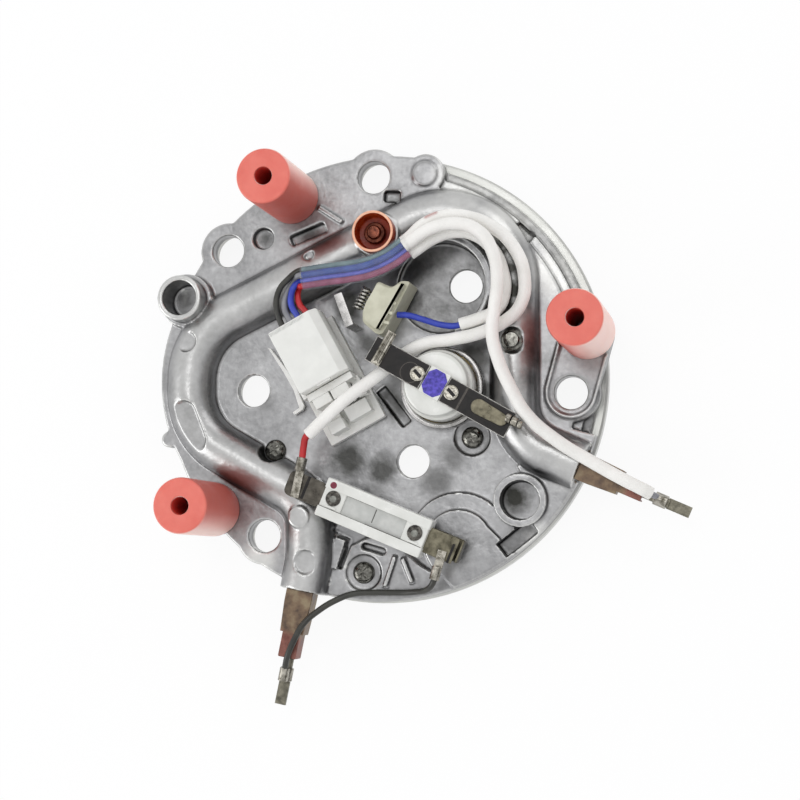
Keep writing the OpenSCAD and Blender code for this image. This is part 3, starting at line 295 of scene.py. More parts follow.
def machined_plate():
    # Pressed aluminium disc with a turned rim: pale, with fine rings round its centre
    made, tree, shader = surface("turned aluminium disc", Metallic=0.85)
    place = place_of(tree)
    rings = add(tree, "TexWave", {
        "Vector": place, "Scale": wave_scale(1.6 * MM), "Distortion": 0.6, "Detail": 2.0},
        wave_type="RINGS", rings_direction="Z").outputs["Fac"]
    patches = cloud(tree, place, 14, 4.0)
    tree.links.new(ramp(tree, patches, (0.3, "#B4B4B1"), (0.7, "#CFD0CB")), shader.inputs["Base Color"])
    tree.links.new(spread(tree, patches, 0.28, 0.45), shader.inputs["Roughness"])
    tree.links.new(relief(tree, rings, 0.03), shader.inputs["Normal"])
    return made


def braided_sleeve(name, dark, pale, **values):
    # Woven glass fibre dipped in silicone: two sets of strands cross at 45 degrees under a soft skin.
    # The real strands are 0.25 mm apart; they are drawn 0.6 mm apart so that they show.
    made, tree, shader = surface(name, **values)
    uv = add(tree, "UVMap").outputs["UV"]
    strands = []
    for slant in (1, -1):
        turned = add(tree, "Mapping", {"Vector": uv, "Rotation": (0, 0, slant * math.radians(45))}).outputs["Vector"]
        strands.append(add(tree, "TexWave", {
            "Vector": turned, "Scale": wave_scale(0.6), "Distortion": 0.3}, bands_direction="X").outputs["Fac"])
    weave = sums(tree, "MAXIMUM", *strands)
    place = place_of(tree)
    drift = cloud(tree, place, 6)
    cloth = ramp(tree, drift, (0.3, dark), (0.7, pale))
    ink = spots(tree, place, 0.5, PEN_MARKS, CROWN_Z + 4.8)
    tree.links.new(blend(tree, ink, cloth, colour("#A02A24")), shader.inputs["Base Color"])
    tree.links.new(spread(tree, drift, 0.5, 0.7), shader.inputs["Roughness"])
    tree.links.new(relief(tree, weave, 0.05), shader.inputs["Normal"])
    return made


def make_materials():
    made = {
        "cast_alloy": cast_alloy(),
        "machined_plate": machined_plate(),
        # Drawn stainless tube, dull with a brown heat tint
        "sheath_steel": mottled("heat-tinted steel tube", "#6B5F57", "#9A938C", 3, (0.3, 0.5), 0.4, 0.01, Metallic=1.0),
        # Packed oxide powder: chalky
        "magnesia": mottled("packed oxide powder", "#CFCBC2", "#E6E3DC", 2, (0.85, 0.95), 0.3, 0.03),
        # Drawn resistance wire
        "heating_wire": mottled("resistance wire", "#5C5A58", "#807C78", 2, (0.4, 0.5), 0.3, 0.01, Metallic=1.0),
        # Nickel-plated pin, tarnished where it leaves the shroud
        "pin_steel": mottled("plated steel pin", "#7A756F", "#BDB8B0", 2.5, (0.25, 0.42), 0.4, 0.015, Metallic=1.0),
        # Moulded silicone bead
        "seal_silicone": mottled("silicone bead", "#D6D2CA", "#ECE9E3", 1.5, (0.5, 0.6), 0.3, 0.02),
        "shroud_steel": browned_sheet(),
        # Tinned crimp
        "tinned_steel": mottled("tinned crimp", "#625E54", "#BAB6AC", 1.5, (0.2, 0.36), 0.5, 0.05, Metallic=1.0),
        "standoff_silicone": moulded_silicone(),
        # The same silicone deep in the bore, in a darker red for painted shade
        "shaded_bore_silicone": mottled("silicone bore", "#C43A30", "#D84C40", 3, (0.45, 0.6), 0.5, 0.015),
        # Pressed aluminium cup
        "cap_aluminium": mottled("pressed aluminium cap", "#8E8D8B", "#C0BEBD", 3, (0.2, 0.34), 0.8, 0.006, Metallic=1.0),
        # Rolled two-metal snap disc
        "bimetal": mottled("rolled snap disc", "#8C7A50", "#B29E6E", 2, (0.3, 0.4), 0.4, 0.01, Metallic=1.0),
        # Glazed steatite ceramic: white, glossy, very faint orange peel
        "white_ceramic": mottled("glazed steatite", "#D5D6D0", "#E2E3DE", 5, (0.16, 0.3), 1.2, 0.02,
                                 Coat_Weight=0.4, Coat_Roughness=0.08),
        # Blackened spring steel
        "blade_steel": mottled("blackened spring steel", "#0E0D0D", "#242120", 3, (0.28, 0.45), 0.4, 0.015, Metallic=0.5),
        # Tarnished brass sheet
        "brass_sheet": mottled("tarnished brass sheet", "#4A473C", "#7E7968", 2.2, (0.24, 0.4), 0.5, 0.03, Metallic=1.0),
        # Rolled rivets
        "rivet_metal": mottled("rolled rivet", "#8F8B80", "#CAC6BA", 1.2, (0.2, 0.36), 0.4, 0.02, Metallic=1.0),
        # Bronze contact leaf with a grey tarnish
        "leaf_metal": mottled("grey-brown bronze leaf", "#3E3B36", "#65615A", 2.6, (0.24, 0.4), 0.5, 0.02, Metallic=1.0),
        # Zinc-plated screw
        "screw_steel": mottled("dark plated steel", "#2E2D2A", "#86857F", 1.2, (0.1, 0.2), 0.4, 0.02, Metallic=1.0),
        # Glossy orange-brown moulding
        "cup_plastic": mottled("red-brown silicone rubber", "#761C07", "#A03812", 3, (0.2, 0.34), 0.6, 0.02,
                               Specular_IOR_Level=0.2),
        # Moulded nylon, white
        "connector_nylon": mottled("white moulded nylon", "#DEDFDA", "#E6E7E2", 5, (0.36, 0.5), 0.5, 0.012),
        # Moulded nylon, greyer and translucent
        "tray_nylon": mottled("grey-white moulded nylon", "#E0E0DB", "#EAEAE6", 5, (0.38, 0.52), 0.5, 0.012),
        # The same nylon in a thin lip, painted lighter: painted light for the light that shows through it
        "lip_nylon": mottled("clear thin nylon", "#E2E3DF", "#F0F0ED", 4, (0.25, 0.4), 0.5, 0.012),
        # Moulded nylon, cream
        "cream_nylon": mottled("cream moulded nylon", "#BAB9A4", "#CCCBB7", 3, (0.36, 0.5), 0.5, 0.012),
        "glass_fibre": braided_sleeve("white glass fibre sleeve", "#E9E8E3", "#F3F2EE"),
        "clear_sleeve": mottled("clear shrunk sleeve", "#AEB6C2", "#CFD2DA", 4, (0.1, 0.2), 0.8, 0.03, Alpha=0.13),
        # Extruded silicone insulation
        "deep_blue_silicone": mottled("deep blue insulation", "#1C3884", "#2C4E9C", 3, (0.32, 0.42), 0.4, 0.01),
        "red_silicone": mottled("red silicone insulation", "#A8141A", "#BE2428", 3, (0.32, 0.42), 0.4, 0.01),
        "blue_silicone": mottled("blue silicone insulation", "#26379E", "#3347B8", 3, (0.32, 0.42), 0.4, 0.01),
        "black_silicone": mottled("black silicone insulation", "#23231F", "#35352F", 3, (0.32, 0.42), 0.4, 0.01),
        "grey_silicone": mottled("grey silicone insulation", "#77787C", "#8C8D92", 3, (0.32, 0.42), 0.4, 0.01),
        "violet_silicone": mottled("violet silicone insulation", "#4048B0", "#6468CC", 3, (0.32, 0.42), 0.4, 0.01),
        # Hand-dabbed lacquer: uneven, with brush marks
        "violet_paint": mottled("blue-violet lacquer", "#160A74", "#6456CE", 1.3, (0.3, 0.6), 0.5, 0.08),
        "maroon_paint": mottled("maroon lacquer", "#5E1026", "#7E1C38", 0.6, (0.3, 0.5), 0.3, 0.03),
        # Sheared edge of the blackened sheet: bare steel on its sides, with a painted highlight on the bevels along its
        # edges
        "bare_edge_and_highlight": mottled("sheared steel edge", "#8C8A86", "#C9C7C2", 1.0, (0.25, 0.4), 0.2, 0.03, Metallic=1.0),
        # Brass rivet, worn bright on its roll
        "brass_rivet": mottled("worn plated rivet", "#7C786C", "#CECAC0", 0.8, (0.2, 0.36), 0.3, 0.04, Metallic=1.0),
        "grey_rivet": mottled("dull rivet", "#6E6F6A", "#8E8F89", 0.9, (0.3, 0.45), 0.3, 0.03, Metallic=0.8),
        "dark_rivet": mottled("blackened rivet", "#2C2A28", "#6B6862", 0.8, (0.25, 0.4), 0.3, 0.03, Metallic=0.8),
        # Grey mica panel behind the bar's window
        "grey_panel": mottled("grey mica sheet", "#B4B6B2", "#C6C7C3", 3, (0.4, 0.55), 0.4, 0.02),
        # Shiny traces of the stamp and of the fold on the blackened sheet
        "worn_line": mottled("worn line on black steel", "#3C3A37", "#57534F", 0.8, (0.3, 0.45), 0.3, 0.02, Metallic=0.8),
        # Red and dark blue leads as they lie under the clear sleeve
        "mauve_silicone": mottled("dull red insulation", "#7A2C4C", "#9A4E70", 3, (0.32, 0.42), 0.4, 0.01),
        "teal_silicone": mottled("grey-green insulation", "#4F6A70", "#76908F", 3, (0.32, 0.42), 0.4, 0.01),
        # Crimped tip, tarnished olive
        "aged_tin": mottled("tarnished tinned tip", "#55534A", "#868274", 1.8, (0.3, 0.45), 0.5, 0.04, Metallic=0.9),
        # Painted shade: dark grey for the seams round the bar's panel and the hollow of the sensor's coil
        "dark_recess": mottled("shadowed gap", "#3A3835", "#55524E", 1.0, (0.6, 0.8), 0.3, 0.02),
        # Coiled spring wire
        "spring_steel": mottled("coiled spring wire", "#8E8C86", "#D4D2CC", 0.8, (0.2, 0.34), 0.2, 0.02, Metallic=1.0),
        # Rim of the cup, painted pale: painted light for the light that shows through its thin edge
        "pale_rim": mottled("thin amber rim", "#E8A684", "#F3C3A4", 1.5, (0.25, 0.4), 0.4, 0.02),
        # Screw in the cup, painted red-brown: a painted reflection of the cup round it
        "cup_reflecting_screw": mottled("screw in the red-brown cup", "#3A150C", "#7C4634", 1.4, (0.14, 0.28), 0.3, 0.03, Metallic=0.8),
    }
    return made


finishes = make_materials()


def slots_of_nodes():
    """Name of the record's material slot for each CAD node."""
    return {entry["node"]: entry["material_slot"] for entry in frame["record"]["subparts"]}


def dress_cad_nodes():
    """Every CAD node gets the finish of its own slot."""
    for name, slot in slots_of_nodes().items():
        piece = frame["nodes"][name]
        piece.data.materials.clear()
        piece.data.materials.append(finishes[slot])


# Modelling
def clear():
    """Object mode, with nothing selected."""
    active = bpy.context.view_layer.objects.active
    if active and active.mode != "OBJECT":
        bpy.ops.object.mode_set(mode="OBJECT")
    bpy.ops.object.select_all(action="DESELECT")


def pick(*objects):
    clear()
    for made in objects:
        made.select_set(True)
    bpy.context.view_layer.objects.active = objects[0]
    return objects[0]


def modify(piece, kind, **settings):
    """A modifier with its settings, applied at once."""
    pick(piece)
    modifier = piece.modifiers.new(kind, kind)
    for name, value in settings.items():
        setattr(modifier, name, value)
    bpy.ops.object.modifier_apply(modifier=modifier.name)
    return piece


def soften(piece, edge, rounds=2, angle=30):
    """Rounds every edge sharper than the angle."""
    return modify(piece, "BEVEL", width=edge * MM, segments=rounds, limit_method="ANGLE",
                  angle_limit=math.radians(angle), harden_normals=False)


def block(low, high, edge=0.0, rounds=2):
    """Box between two corners, with its edges rounded."""
    clear()
    low, high = Vector(low), Vector(high)
    bpy.ops.mesh.primitive_cube_add(size=1, location=(low + high) / 2 * MM)
    made = bpy.context.object
    made.scale = (high - low) * MM
    bpy.ops.object.transform_apply(location=True, rotation=False, scale=True)
    return soften(made, edge, rounds) if edge else made


def plate(outline, low, high, corner=0.0, edge=0.0):
    """Flat piece: an outline with rounded corners, extruded from low to high, with softened edges."""
    clear()
    bpy.ops.mesh.primitive_circle_add(vertices=len(outline), radius=1, fill_type="NGON")
    made = bpy.context.object
    for vertex, (x, y) in zip(made.data.vertices, outline):
        vertex.co = Vector((x, y, low)) * MM
    bpy.ops.object.mode_set(mode="EDIT")
    bpy.ops.mesh.select_all(action="SELECT")
    if corner:
        bpy.ops.mesh.bevel(offset=corner * MM, segments=4, affect="VERTICES")
        bpy.ops.mesh.select_all(action="SELECT")
    bpy.ops.mesh.extrude_region_move(TRANSFORM_OT_translate={"value": (0, 0, (high - low) * MM)})
    bpy.ops.mesh.select_all(action="SELECT")
    bpy.ops.mesh.normals_make_consistent(inside=False)
    bpy.ops.object.mode_set(mode="OBJECT")
    return soften(made, edge) if edge else made


def turned(profile, spot=(0, 0), segments=48):
    """Lathe shape: a circle extruded from one (radius, height) to the next, its ends merged where they meet."""
    clear()
    radius, height = profile[0]
    bpy.ops.mesh.primitive_circle_add(
        vertices=segments, radius=radius * MM, location=(spot[0] * MM, spot[1] * MM, height * MM))
    made = bpy.context.object
    bpy.ops.object.transform_apply(location=True, rotation=False, scale=False)
    bpy.ops.object.mode_set(mode="EDIT")
    bpy.ops.mesh.select_all(action="SELECT")
    axis = Vector((spot[0], spot[1], 0)) * MM
    for next_radius, next_height in profile[1:]:
        bpy.ops.mesh.extrude_region_move(TRANSFORM_OT_translate={"value": (0, 0, (next_height - height) * MM)})
        grow = next_radius / radius
        bpy.ops.transform.resize(value=(grow, grow, 1), center_override=axis)
        radius, height = next_radius, next_height
    bpy.ops.mesh.select_all(action="SELECT")
    bpy.ops.mesh.remove_doubles(threshold=0.03 * MM)
    bpy.ops.mesh.normals_make_consistent(inside=False)
    bpy.ops.object.mode_set(mode="OBJECT")
    return made


def strand(points, diameter, rounds=4, kind="AUTO", flat=1.0):
    """Lead along a smooth curve through the points, with its UV map in millimetres; flat widens its section."""
    clear()
    data = bpy.data.curves.new("strand", "CURVE")
    data.dimensions = "3D"
    data.bevel_depth = diameter / 2 * MM
    data.bevel_resolution = rounds
    data.use_fill_caps = True
    data.resolution_u = 6
    spline = data.splines.new("BEZIER")
    spline.bezier_points.add(len(points) - 1)
    for knot, point in zip(spline.bezier_points, points):
        knot.co = Vector(point) * MM
        knot.handle_left_type = knot.handle_right_type = kind
    length = spline.calc_length() / MM
    if flat != 1.0:
        bpy.ops.curve.primitive_bezier_circle_add(radius=diameter / 2 * MM)
        section = bpy.context.object
        section.data.resolution_u = rounds
        section.scale = (flat, 1, 1)
        bpy.ops.object.transform_apply(location=False, rotation=False, scale=True)
        data.bevel_mode = "OBJECT"
        data.bevel_object = section
        data.twist_mode = "Z_UP"
    made = bpy.data.objects.new("strand", data)
    bpy.context.scene.collection.objects.link(made)
    pick(made)
    bpy.ops.object.convert(target="MESH")
    made = bpy.context.object
    if flat != 1.0:
        bpy.data.objects.remove(section)
    for corner in made.data.uv_layers[0].data:
        corner.uv = (corner.uv[0] * length, corner.uv[1] * math.pi * diameter)
    bpy.ops.object.mode_set(mode="EDIT")
    bpy.ops.mesh.select_all(action="SELECT")
    bpy.ops.mesh.remove_doubles(threshold=0.005 * MM)
    bpy.ops.mesh.normals_make_consistent(inside=False)
    bpy.ops.object.mode_set(mode="OBJECT")
    return made


def rod(start, end, radius, segments=20, edge=0.0):
    """Straight round bar between two points."""
    clear()
    start, end = Vector(start) * MM, Vector(end) * MM
    bpy.ops.mesh.primitive_cylinder_add(vertices=segments, radius=radius * MM, depth=(end - start).length)
    made = bpy.context.object
    made.matrix_world = Matrix.Translation((start + end) / 2) @ (end - start).to_track_quat("Z", "Y").to_matrix().to_4x4()
    bpy.ops.object.transform_apply(location=True, rotation=True, scale=True)
    return soften(made, edge) if edge else made


def carve(piece, *cutters, keep="DIFFERENCE"):
    """Takes the cutters out of the piece, or adds them to it."""
    for cutter in cutters:
        modify(piece, "BOOLEAN", object=cutter, operation=keep, solver="EXACT")
        bpy.data.objects.remove(cutter)
    return piece


def join(*pieces):
    pick(*pieces)
    if len(pieces) > 1:
        bpy.ops.object.join()
    return bpy.context.object


def set_down(piece, spot, turn=0.0, height=0.0):
    """Turns a piece made round the origin and sets it down at its place, in its mesh."""
    pick(piece)
    piece.matrix_world = (Matrix.Translation(Vector((spot[0], spot[1], height)) * MM)
                          @ Matrix.Rotation(math.radians(turn), 4, "Z"))
    bpy.ops.object.transform_apply(location=True, rotation=True, scale=True)
    return piece


def settle(piece, name, finish, nodes=(), smooth=35, bare=None):
    """Names a finished piece, gives it its finish and seats it on the part. Faces off the level get the bare finish."""
    pick(piece)
    piece.name = name
    piece.data.name = name
    piece.data.materials.clear()
    piece.data.materials.append(finishes[finish])
    if bare:
        piece.data.materials.append(finishes[bare])
        for face in piece.data.polygons:
            face.material_index = 1 if abs(face.normal.z) < 0.97 else 0
    bpy.ops.object.shade_smooth_by_angle(angle=math.radians(smooth))
    if smooth < 180:
        modify(piece, "WEIGHTED_NORMAL", keep_sharp=True, weight=50)
    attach(piece, "root")
    if nodes:
        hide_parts(*nodes)
    return piece


def copy_of(name):
    """A loose copy of a CAD node, with its doubles merged."""
    clear()
    source = frame["nodes"][name]
    made = bpy.data.objects.new(name + " copy", source.data.copy())
    bpy.context.scene.collection.objects.link(made)
    pick(made)
    bpy.ops.object.mode_set(mode="EDIT")
    bpy.ops.mesh.select_all(action="SELECT")
    bpy.ops.mesh.remove_doubles(threshold=0.001 * MM)
    bpy.ops.object.mode_set(mode="OBJECT")
    return made


# Leads
# Routes of the leads, in millimetres, as in the frame
BUNDLE_ROUTE = [(-19.6, 26.4, 19.6), (-16, 26.8, 19.9), (-12, 27.2, 20.2), (-7, 27.6, 20.4),
                (-1, 28.6, 20.4), (4.6, 30.8, 20.4), (9.2, 33.8, 20.4)]
OUTER_REST = [(14, 40, 19.6), (19.4, 42, 19.8), (26, 41.6, 19.8), (32.8, 38.6, 19.8), (38.6, 32.8, 19.8),
              (41.4, 24.4, 19.6), (40, 17, 19.4), (35.4, 12.8, 19.2), (28.8, 10.2, 18.4), (21.6, 8.8, 18.2),
              (14, 7.8, 18.2), (7.4, 4.4, 18.2), (2.2, 0.2, 18.8), (-7.6, -7.8, 22.3), (-17.8, -16.4, 19.8)]
MIDDLE_REST = [(16.4, 36.2, 18.8), (21.8, 37.8, 18.6), (27.4, 37, 18.6), (32.4, 33, 18.4), (35.2, 27, 18.2),
               (35.6, 20.6, 18), (33.4, 16.4, 17.8), (28.6, 14.2, 17.6), (23.6, 12.8, 17.4)]
INNER_REST = [(16.4, 38, 23.4), (23.6, 39.2, 23.4), (29.8, 36.8, 23.4), (33.4, 31.2, 23.4), (34.6, 24, 23.4),
              (33.8, 16, 23.6), (33.2, 9.6, 23.8), (34.8, 2.4, 23.8), (38, -5, 23.8), (42, -12, 23),
              (49.4, -18.8, 19.6), (58.6, -24.6, 16.4), (67, -29.4, 16.1), (72, -32, 15.6), (73.8, -33, 14.8)]
BLACK_ROUTE = [(16.9, -54.4, 19.5), (16.4, -56.2, 19.3), (14.6, -58, 17.6), (10.6, -58.8, 14.6), (4.6, -59, 12.8),
               (-1, -59, 12.4), (-7.2, -59.4, 12.4), (-12, -61.2, 12.9), (-16.2, -63.8, 13.8), (-20, -67.2, 15),
               (-22.6, -71.4, 15.1), (-24.6, -76, 15), (-25.5, -78.6, 13.9), (-25.9, -80.2, 13.1), (-26.4, -82.2, 12.95)]
PLUG_BENDS = [
    [(-23.6, 26.2, 20.3), (-26.2, 23.2, 20.1), (-27, 18.6, 19.8)],
    [(-22.4, 26, 18.7), (-24.2, 22.6, 19.1), (-24.9, 18.6, 19.4)],
    [(-21.8, 24.2, 20.4), (-22.8, 21.6, 20.2), (-22.7, 18.8, 19.8)],
    [(-20.9, 24, 18.7), (-21.2, 21.4, 19.1), (-20.4, 19, 19.4)],
]
BUNDLE_SPREAD = (-2.3, -0.8, 0.8, 2.2)
CONNECTOR = (-17, 5.9)
CONNECTOR_TURN = 28.5


def heading(points, i):
    return (Vector(points[min(i + 1, len(points) - 1)]) - Vector(points[max(i - 1, 0)])).normalized()


def beside(points, i, aside, above):
    """Point beside a lead's route, by its distance aside and above."""
    forward = heading(points, i)
    side = forward.cross(Vector((0, 0, 1))).normalized()
    return Vector(points[i]) + aside * side + above * side.cross(forward)


def fanned(aside, above):
    start = beside(BUNDLE_ROUTE, 6, aside, above)
    return [start, start + 1.5 * heading(BUNDLE_ROUTE, 6)]


def onward(points):
    last = len(points) - 1
    return [Vector(points[last]), Vector(points[last]) + heading(points, last)]


def in_housing(i, y):
    x = (i - 1.5) * 2.5
    turn = math.radians(CONNECTOR_TURN)
    return Vector((CONNECTOR[0] + x * math.cos(turn) - y * math.sin(turn),
                   CONNECTOR[1] + x * math.sin(turn) + y * math.cos(turn), 19.6))


def make_leads():
    outer = fanned(-1.9, -1.2) + [Vector(p) for p in OUTER_REST]
    middle = fanned(1.9, -1.2) + [Vector(p) for p in MIDDLE_REST]
    inner = fanned(0, 2.4) + [Vector(p) for p in INNER_REST]
    settle(strand(outer, 3.5, 6), "outer_sleeve_braid", "glass_fibre", ["outer_sleeve"])
    settle(strand(middle, 3.5, 6), "middle_sleeve_braid", "glass_fibre", ["middle_sleeve"])
    settle(strand(inner, 3.5, 6), "inner_sleeve_braid", "glass_fibre", ["inner_sleeve"])
    red = onward(outer) + [Vector(p) for p in ((-19.2, -19.6, 19.5), (-19.6, -22.6, 19.5), (-20, -24.4, 19.5))]
    settle(strand(red, 1.9), "red_lead_smooth", "red_silicone", ["red_lead"])
    blue = onward(middle) + [Vector(p) for p in ((18.6, 12.8, 17.6), (13.4, 14.4, 18), (9.4, 15.6, 18), (6.4, 15.9, 17.6))]
    settle(strand(blue, 1.7), "blue_lead_smooth", "blue_silicone", ["blue_lead"])
    settle(strand(BLACK_ROUTE, 1.7), "black_lead_smooth", "black_silicone", ["black_lead"])
    tip = onward(inner) + [Vector(p) for p in ((75.4, -33.9, 13.4), (77.2, -35, 12.95))]
    settle(strand(tip, 1.7), "inner_lead_smooth", "grey_silicone", ["inner_lead"])
    tints = ["black_silicone", "grey_silicone", "blue_silicone", "red_silicone"]
    for i, tint in enumerate(tints):
        start = beside(BUNDLE_ROUTE, 0, BUNDLE_SPREAD[i], 0.5 if i % 2 else -0.3)
        way = [start + 0.5 * heading(BUNDLE_ROUTE, 0), start - heading(BUNDLE_ROUTE, 0), *[Vector(p) for p in PLUG_BENDS[i]],
               in_housing(i, 11), in_housing(i, 8.5)]
        settle(strand(way, 1.7), f"plug_lead_{i + 1}_smooth", tint, [f"plug_lead_{i + 1}"])


def make_bundle():
    """Four leads side by side inside a clear shrunk sleeve, flattened as the leads fill it."""
    for k, tint in enumerate(("teal_silicone", "deep_blue_silicone", "violet_silicone", "mauve_silicone")):
        aside = BUNDLE_SPREAD[k]
        way = [beside(BUNDLE_ROUTE, i, aside, 0.5 if k % 2 else -0.3) for i in range(len(BUNDLE_ROUTE))]
        settle(strand(way, 1.8), f"bundle_lead_{k + 1}", tint)
    sleeve = strand(BUNDLE_ROUTE, 5.2, 6, flat=1.36)
    settle(sleeve, "bundle_sleeve_clear", "clear_sleeve", ["bundle_sleeve"])


# Casting
def make_casting():
    """The casting's edges and corners run together as in a die-cast part."""
    casting = copy_of("heater_casting")
    rolls = []
    for spot, radius, top in (((-55.3, 22.3), 5.55, 19.0), ((38.7, -34.3), 6.25, 13.0)):
        rolls.append(turned([(radius - 0.75, top - 0.9), (radius + 0.75, top - 0.9), (radius + 0.75, top - 0.1),
                             (radius, top), (radius - 0.75, top - 0.1), (radius - 0.75, top - 0.9)], spot))
    casting = join(casting, *rolls)
    modify(casting, "REMESH", mode="VOXEL", voxel_size=0.36 * MM)
    modify(casting, "SMOOTH", factor=0.5, iterations=2)
    modify(casting, "DECIMATE", ratio=min(1.0, 190000 / (2 * len(casting.data.polygons))))
    settle(casting, "casting_skin", "cast_alloy", ["heater_casting"], smooth=180)


# Standoffs
def make_standoffs():
    profile = [(3.45, 10.02), (7.1, 10.02), (7.5, 10.4), (7.5, 39.0), (7.4, 39.5), (7.15, 39.85), (6.8, 40.0),
               (2.8, 40.0), (2.5, 39.85), (2.35, 39.5), (2.35, 15.15), (3.45, 15.15), (3.45, 10.02)]
    for name, spot in (("top", (-25.3, 50.9)), ("right", (57, 10.9)), ("left", (-47.4, -36.1))):
        tube = settle(turned(profile, spot, 64), f"standoff_{name}_moulding", "standoff_silicone", [f"standoff_{name}"])
        # Faces deep in the bore take the darker red of painted shade
        tube.data.materials.append(finishes["shaded_bore_silicone"])
        for face in tube.data.polygons:
            if math.dist(face.center.xy / MM, spot) < 2.7 and face.center.z < 39.6 * MM:
                face.material_index = 1


# Disc limiter
LIMITER = (17.4, -3.4)
LIMITER_TURN = -30.0
BLADE_Z = 21.5


def slotted_rivet(x, top, radius=2.1):
    """Rolled rivet: a low dome with a dimple in its middle."""
    head = turned([(0.01, top - 0.6), (radius - 0.3, top - 0.6), (radius, top - 0.4), (radius - 0.1, top - 0.15),
                   (radius - 0.5, top), (1.2, top - 0.02), (0.7, top - 0.12), (0.01, top - 0.16)], segments=40)
    return set_down(head, (x, 0))


def make_limiter():
    z = FLOOR_Z
    cap = turned([(0.01, z), (10.9, z), (11.25, z + 0.12), (11.4, z + 0.5), (11.4, z + 3.9), (11.25, z + 4.35),
                  (10.85, z + 4.5), (10.2, z + 4.45), (9.95, z + 4.25), (9.95, z + 4.1), (10.9, z + 4.05),
                  (11.0, z + 3.8), (11.0, z + 0.45), (0.01, z + 0.4)], LIMITER, 96)
    settle(cap, "limiter_cap_rolled", "cap_aluminium", ["limiter_cap"])
    top = BLADE_Z
    body = turned([(0.01, z + 1.3), (9.6, z + 1.3), (9.6, top - 4.2), (9.45, top - 3.9), (8.95, top - 3.8), (8.8, top - 3.6),
                   (8.7, top - 0.9), (8.45, top - 0.35), (7.9, top - 0.06), (7.4, top), (0.01, top)], segments=96)
    saddle = block((-3.05, -3.9, top - 1), (3.05, 3.9, top + 0.72), 0.2)
    body = set_down(join(body, saddle), LIMITER, LIMITER_TURN)
    settle(body, "limiter_ceramic", "white_ceramic", ["limiter_body"])
    mark = plate([(-1.4, -3.6), (1.4, -3.6), (2.9, -2.0), (2.9, 2.0), (1.4, 3.6), (-1.4, 3.6), (-2.9, 2.0), (-2.9, -2.0)],
                 top + 0.68, top + 0.8, 0.2, 0.03)
    settle(set_down(mark, LIMITER, LIMITER_TURN), "limiter_paint_mark", "violet_paint")
    for side, reach in ((-1, 20.0), (1, 23.5)):
        near, far = sorted((side * 3.2, side * reach))
        blade = set_down(block((near, -3.65, top), (far, 3.65, top + 0.8), 0.2, 3), LIMITER, LIMITER_TURN)
        label = "left" if side < 0 else "right"
        # The blade's sides and edge bevels take the bare edge finish: bare steel with a painted highlight
        settle(blade, f"blade_{label}_sheet", "blade_steel", [f"blade_{label}"], bare="bare_edge_and_highlight")
    # Round stamp beside the left rivet, half under its head, and the fold beside the right one
    stamp = turned([(2.62, top + 0.79), (2.82, top + 0.79), (2.82, top + 0.83), (2.62, top + 0.83), (2.62, top + 0.79)],
                   (-7.25, -0.7), 48)
    fold = block((8.3, -3.4, top + 0.79), (8.85, 3.4, top + 0.83))
    settle(set_down(join(stamp, fold), LIMITER, LIMITER_TURN), "blade_worn_lines", "worn_line")
    rivets = join(*[slotted_rivet(side * 5.25, top + 0.8 + 0.6) for side in (-1, 1)])
    slots = join(*[set_down(block((-0.47, -1.4, 0), (0.47, 1.4, 1.5)), (side * 5.25, 0), 71, top + 0.95) for side in (-1, 1)])
    rivets = set_down(carve(rivets, slots), LIMITER, LIMITER_TURN)
    settle(rivets, "blade_rivets_rolled", "brass_rivet", ["blade_rivets"])
    # Black sheets in the floors of the rivet slots: painted shade
    wells = join(*[set_down(block((-0.45, -1.35, 0), (0.45, 1.35, 0.08)), (side * 5.25, 0), 71, top + 0.96) for side in (-1, 1)])
    settle(set_down(wells, LIMITER, LIMITER_TURN), "blade_rivet_slot_shade", "blade_steel")
    # Folded crimp on the left blade: a channel with two rolled walls round the bared strands
    base = block((-18.1, -3.4, top + 0.82), (-15.5, 6.4, top + 1.15), 0.1)
    walls = [rod((x, -2.7, top + 1.5), (x, 6.2, top + 1.5), 0.42, 16, 0.15) for x in (-17.55, -16.05)]
    strands = [rod((-16.8 + dx, -2.2, top + 1.35), (-16.8 + dx, 6.2, top + 1.4), 0.22, 10) for dx in (-0.35, 0.1)]
    crimp = set_down(join(base, *walls, *strands), LIMITER, LIMITER_TURN)
    settle(crimp, "blade_crimp_left_folded", "tinned_steel", ["blade_crimp_left"])
    # Oval brass weld pad and the barrel behind it
    pad = plate([(13.6 + 2.1 * math.cos(a), 0.3 + 2.1 * math.sin(a)) for a in
                 [math.radians(90 + 20 * k) for k in range(10)]]
                + [(20.6 + 1.7 * math.cos(a), 0.3 + 1.7 * math.sin(a)) for a in
                   [math.radians(-90 + 20 * k) for k in range(10)]], top + 0.82, top + 1.4, 0.0, 0.18)
    settle(set_down(pad, LIMITER, LIMITER_TURN), "blade_weld_pad", "brass_sheet", ["blade_crimp_right"])
    barrel = []
    for start, end, radius in ((21.6, 23.0, 1.25), (23.3, 25.0, 1.35), (25.2, 26.4, 1.15)):
        barrel.append(rod((start, 1.4, top + 2.1), (end, 1.6, top + 2.1), radius, 18, 0.25))
    settle(set_down(join(*barrel), LIMITER, LIMITER_TURN), "blade_barrel_right", "tinned_steel")


# Bar cut-out
BAR = (0.4, -38.6)
BAR_TURN = -22.6
BAR_Z = 14.6


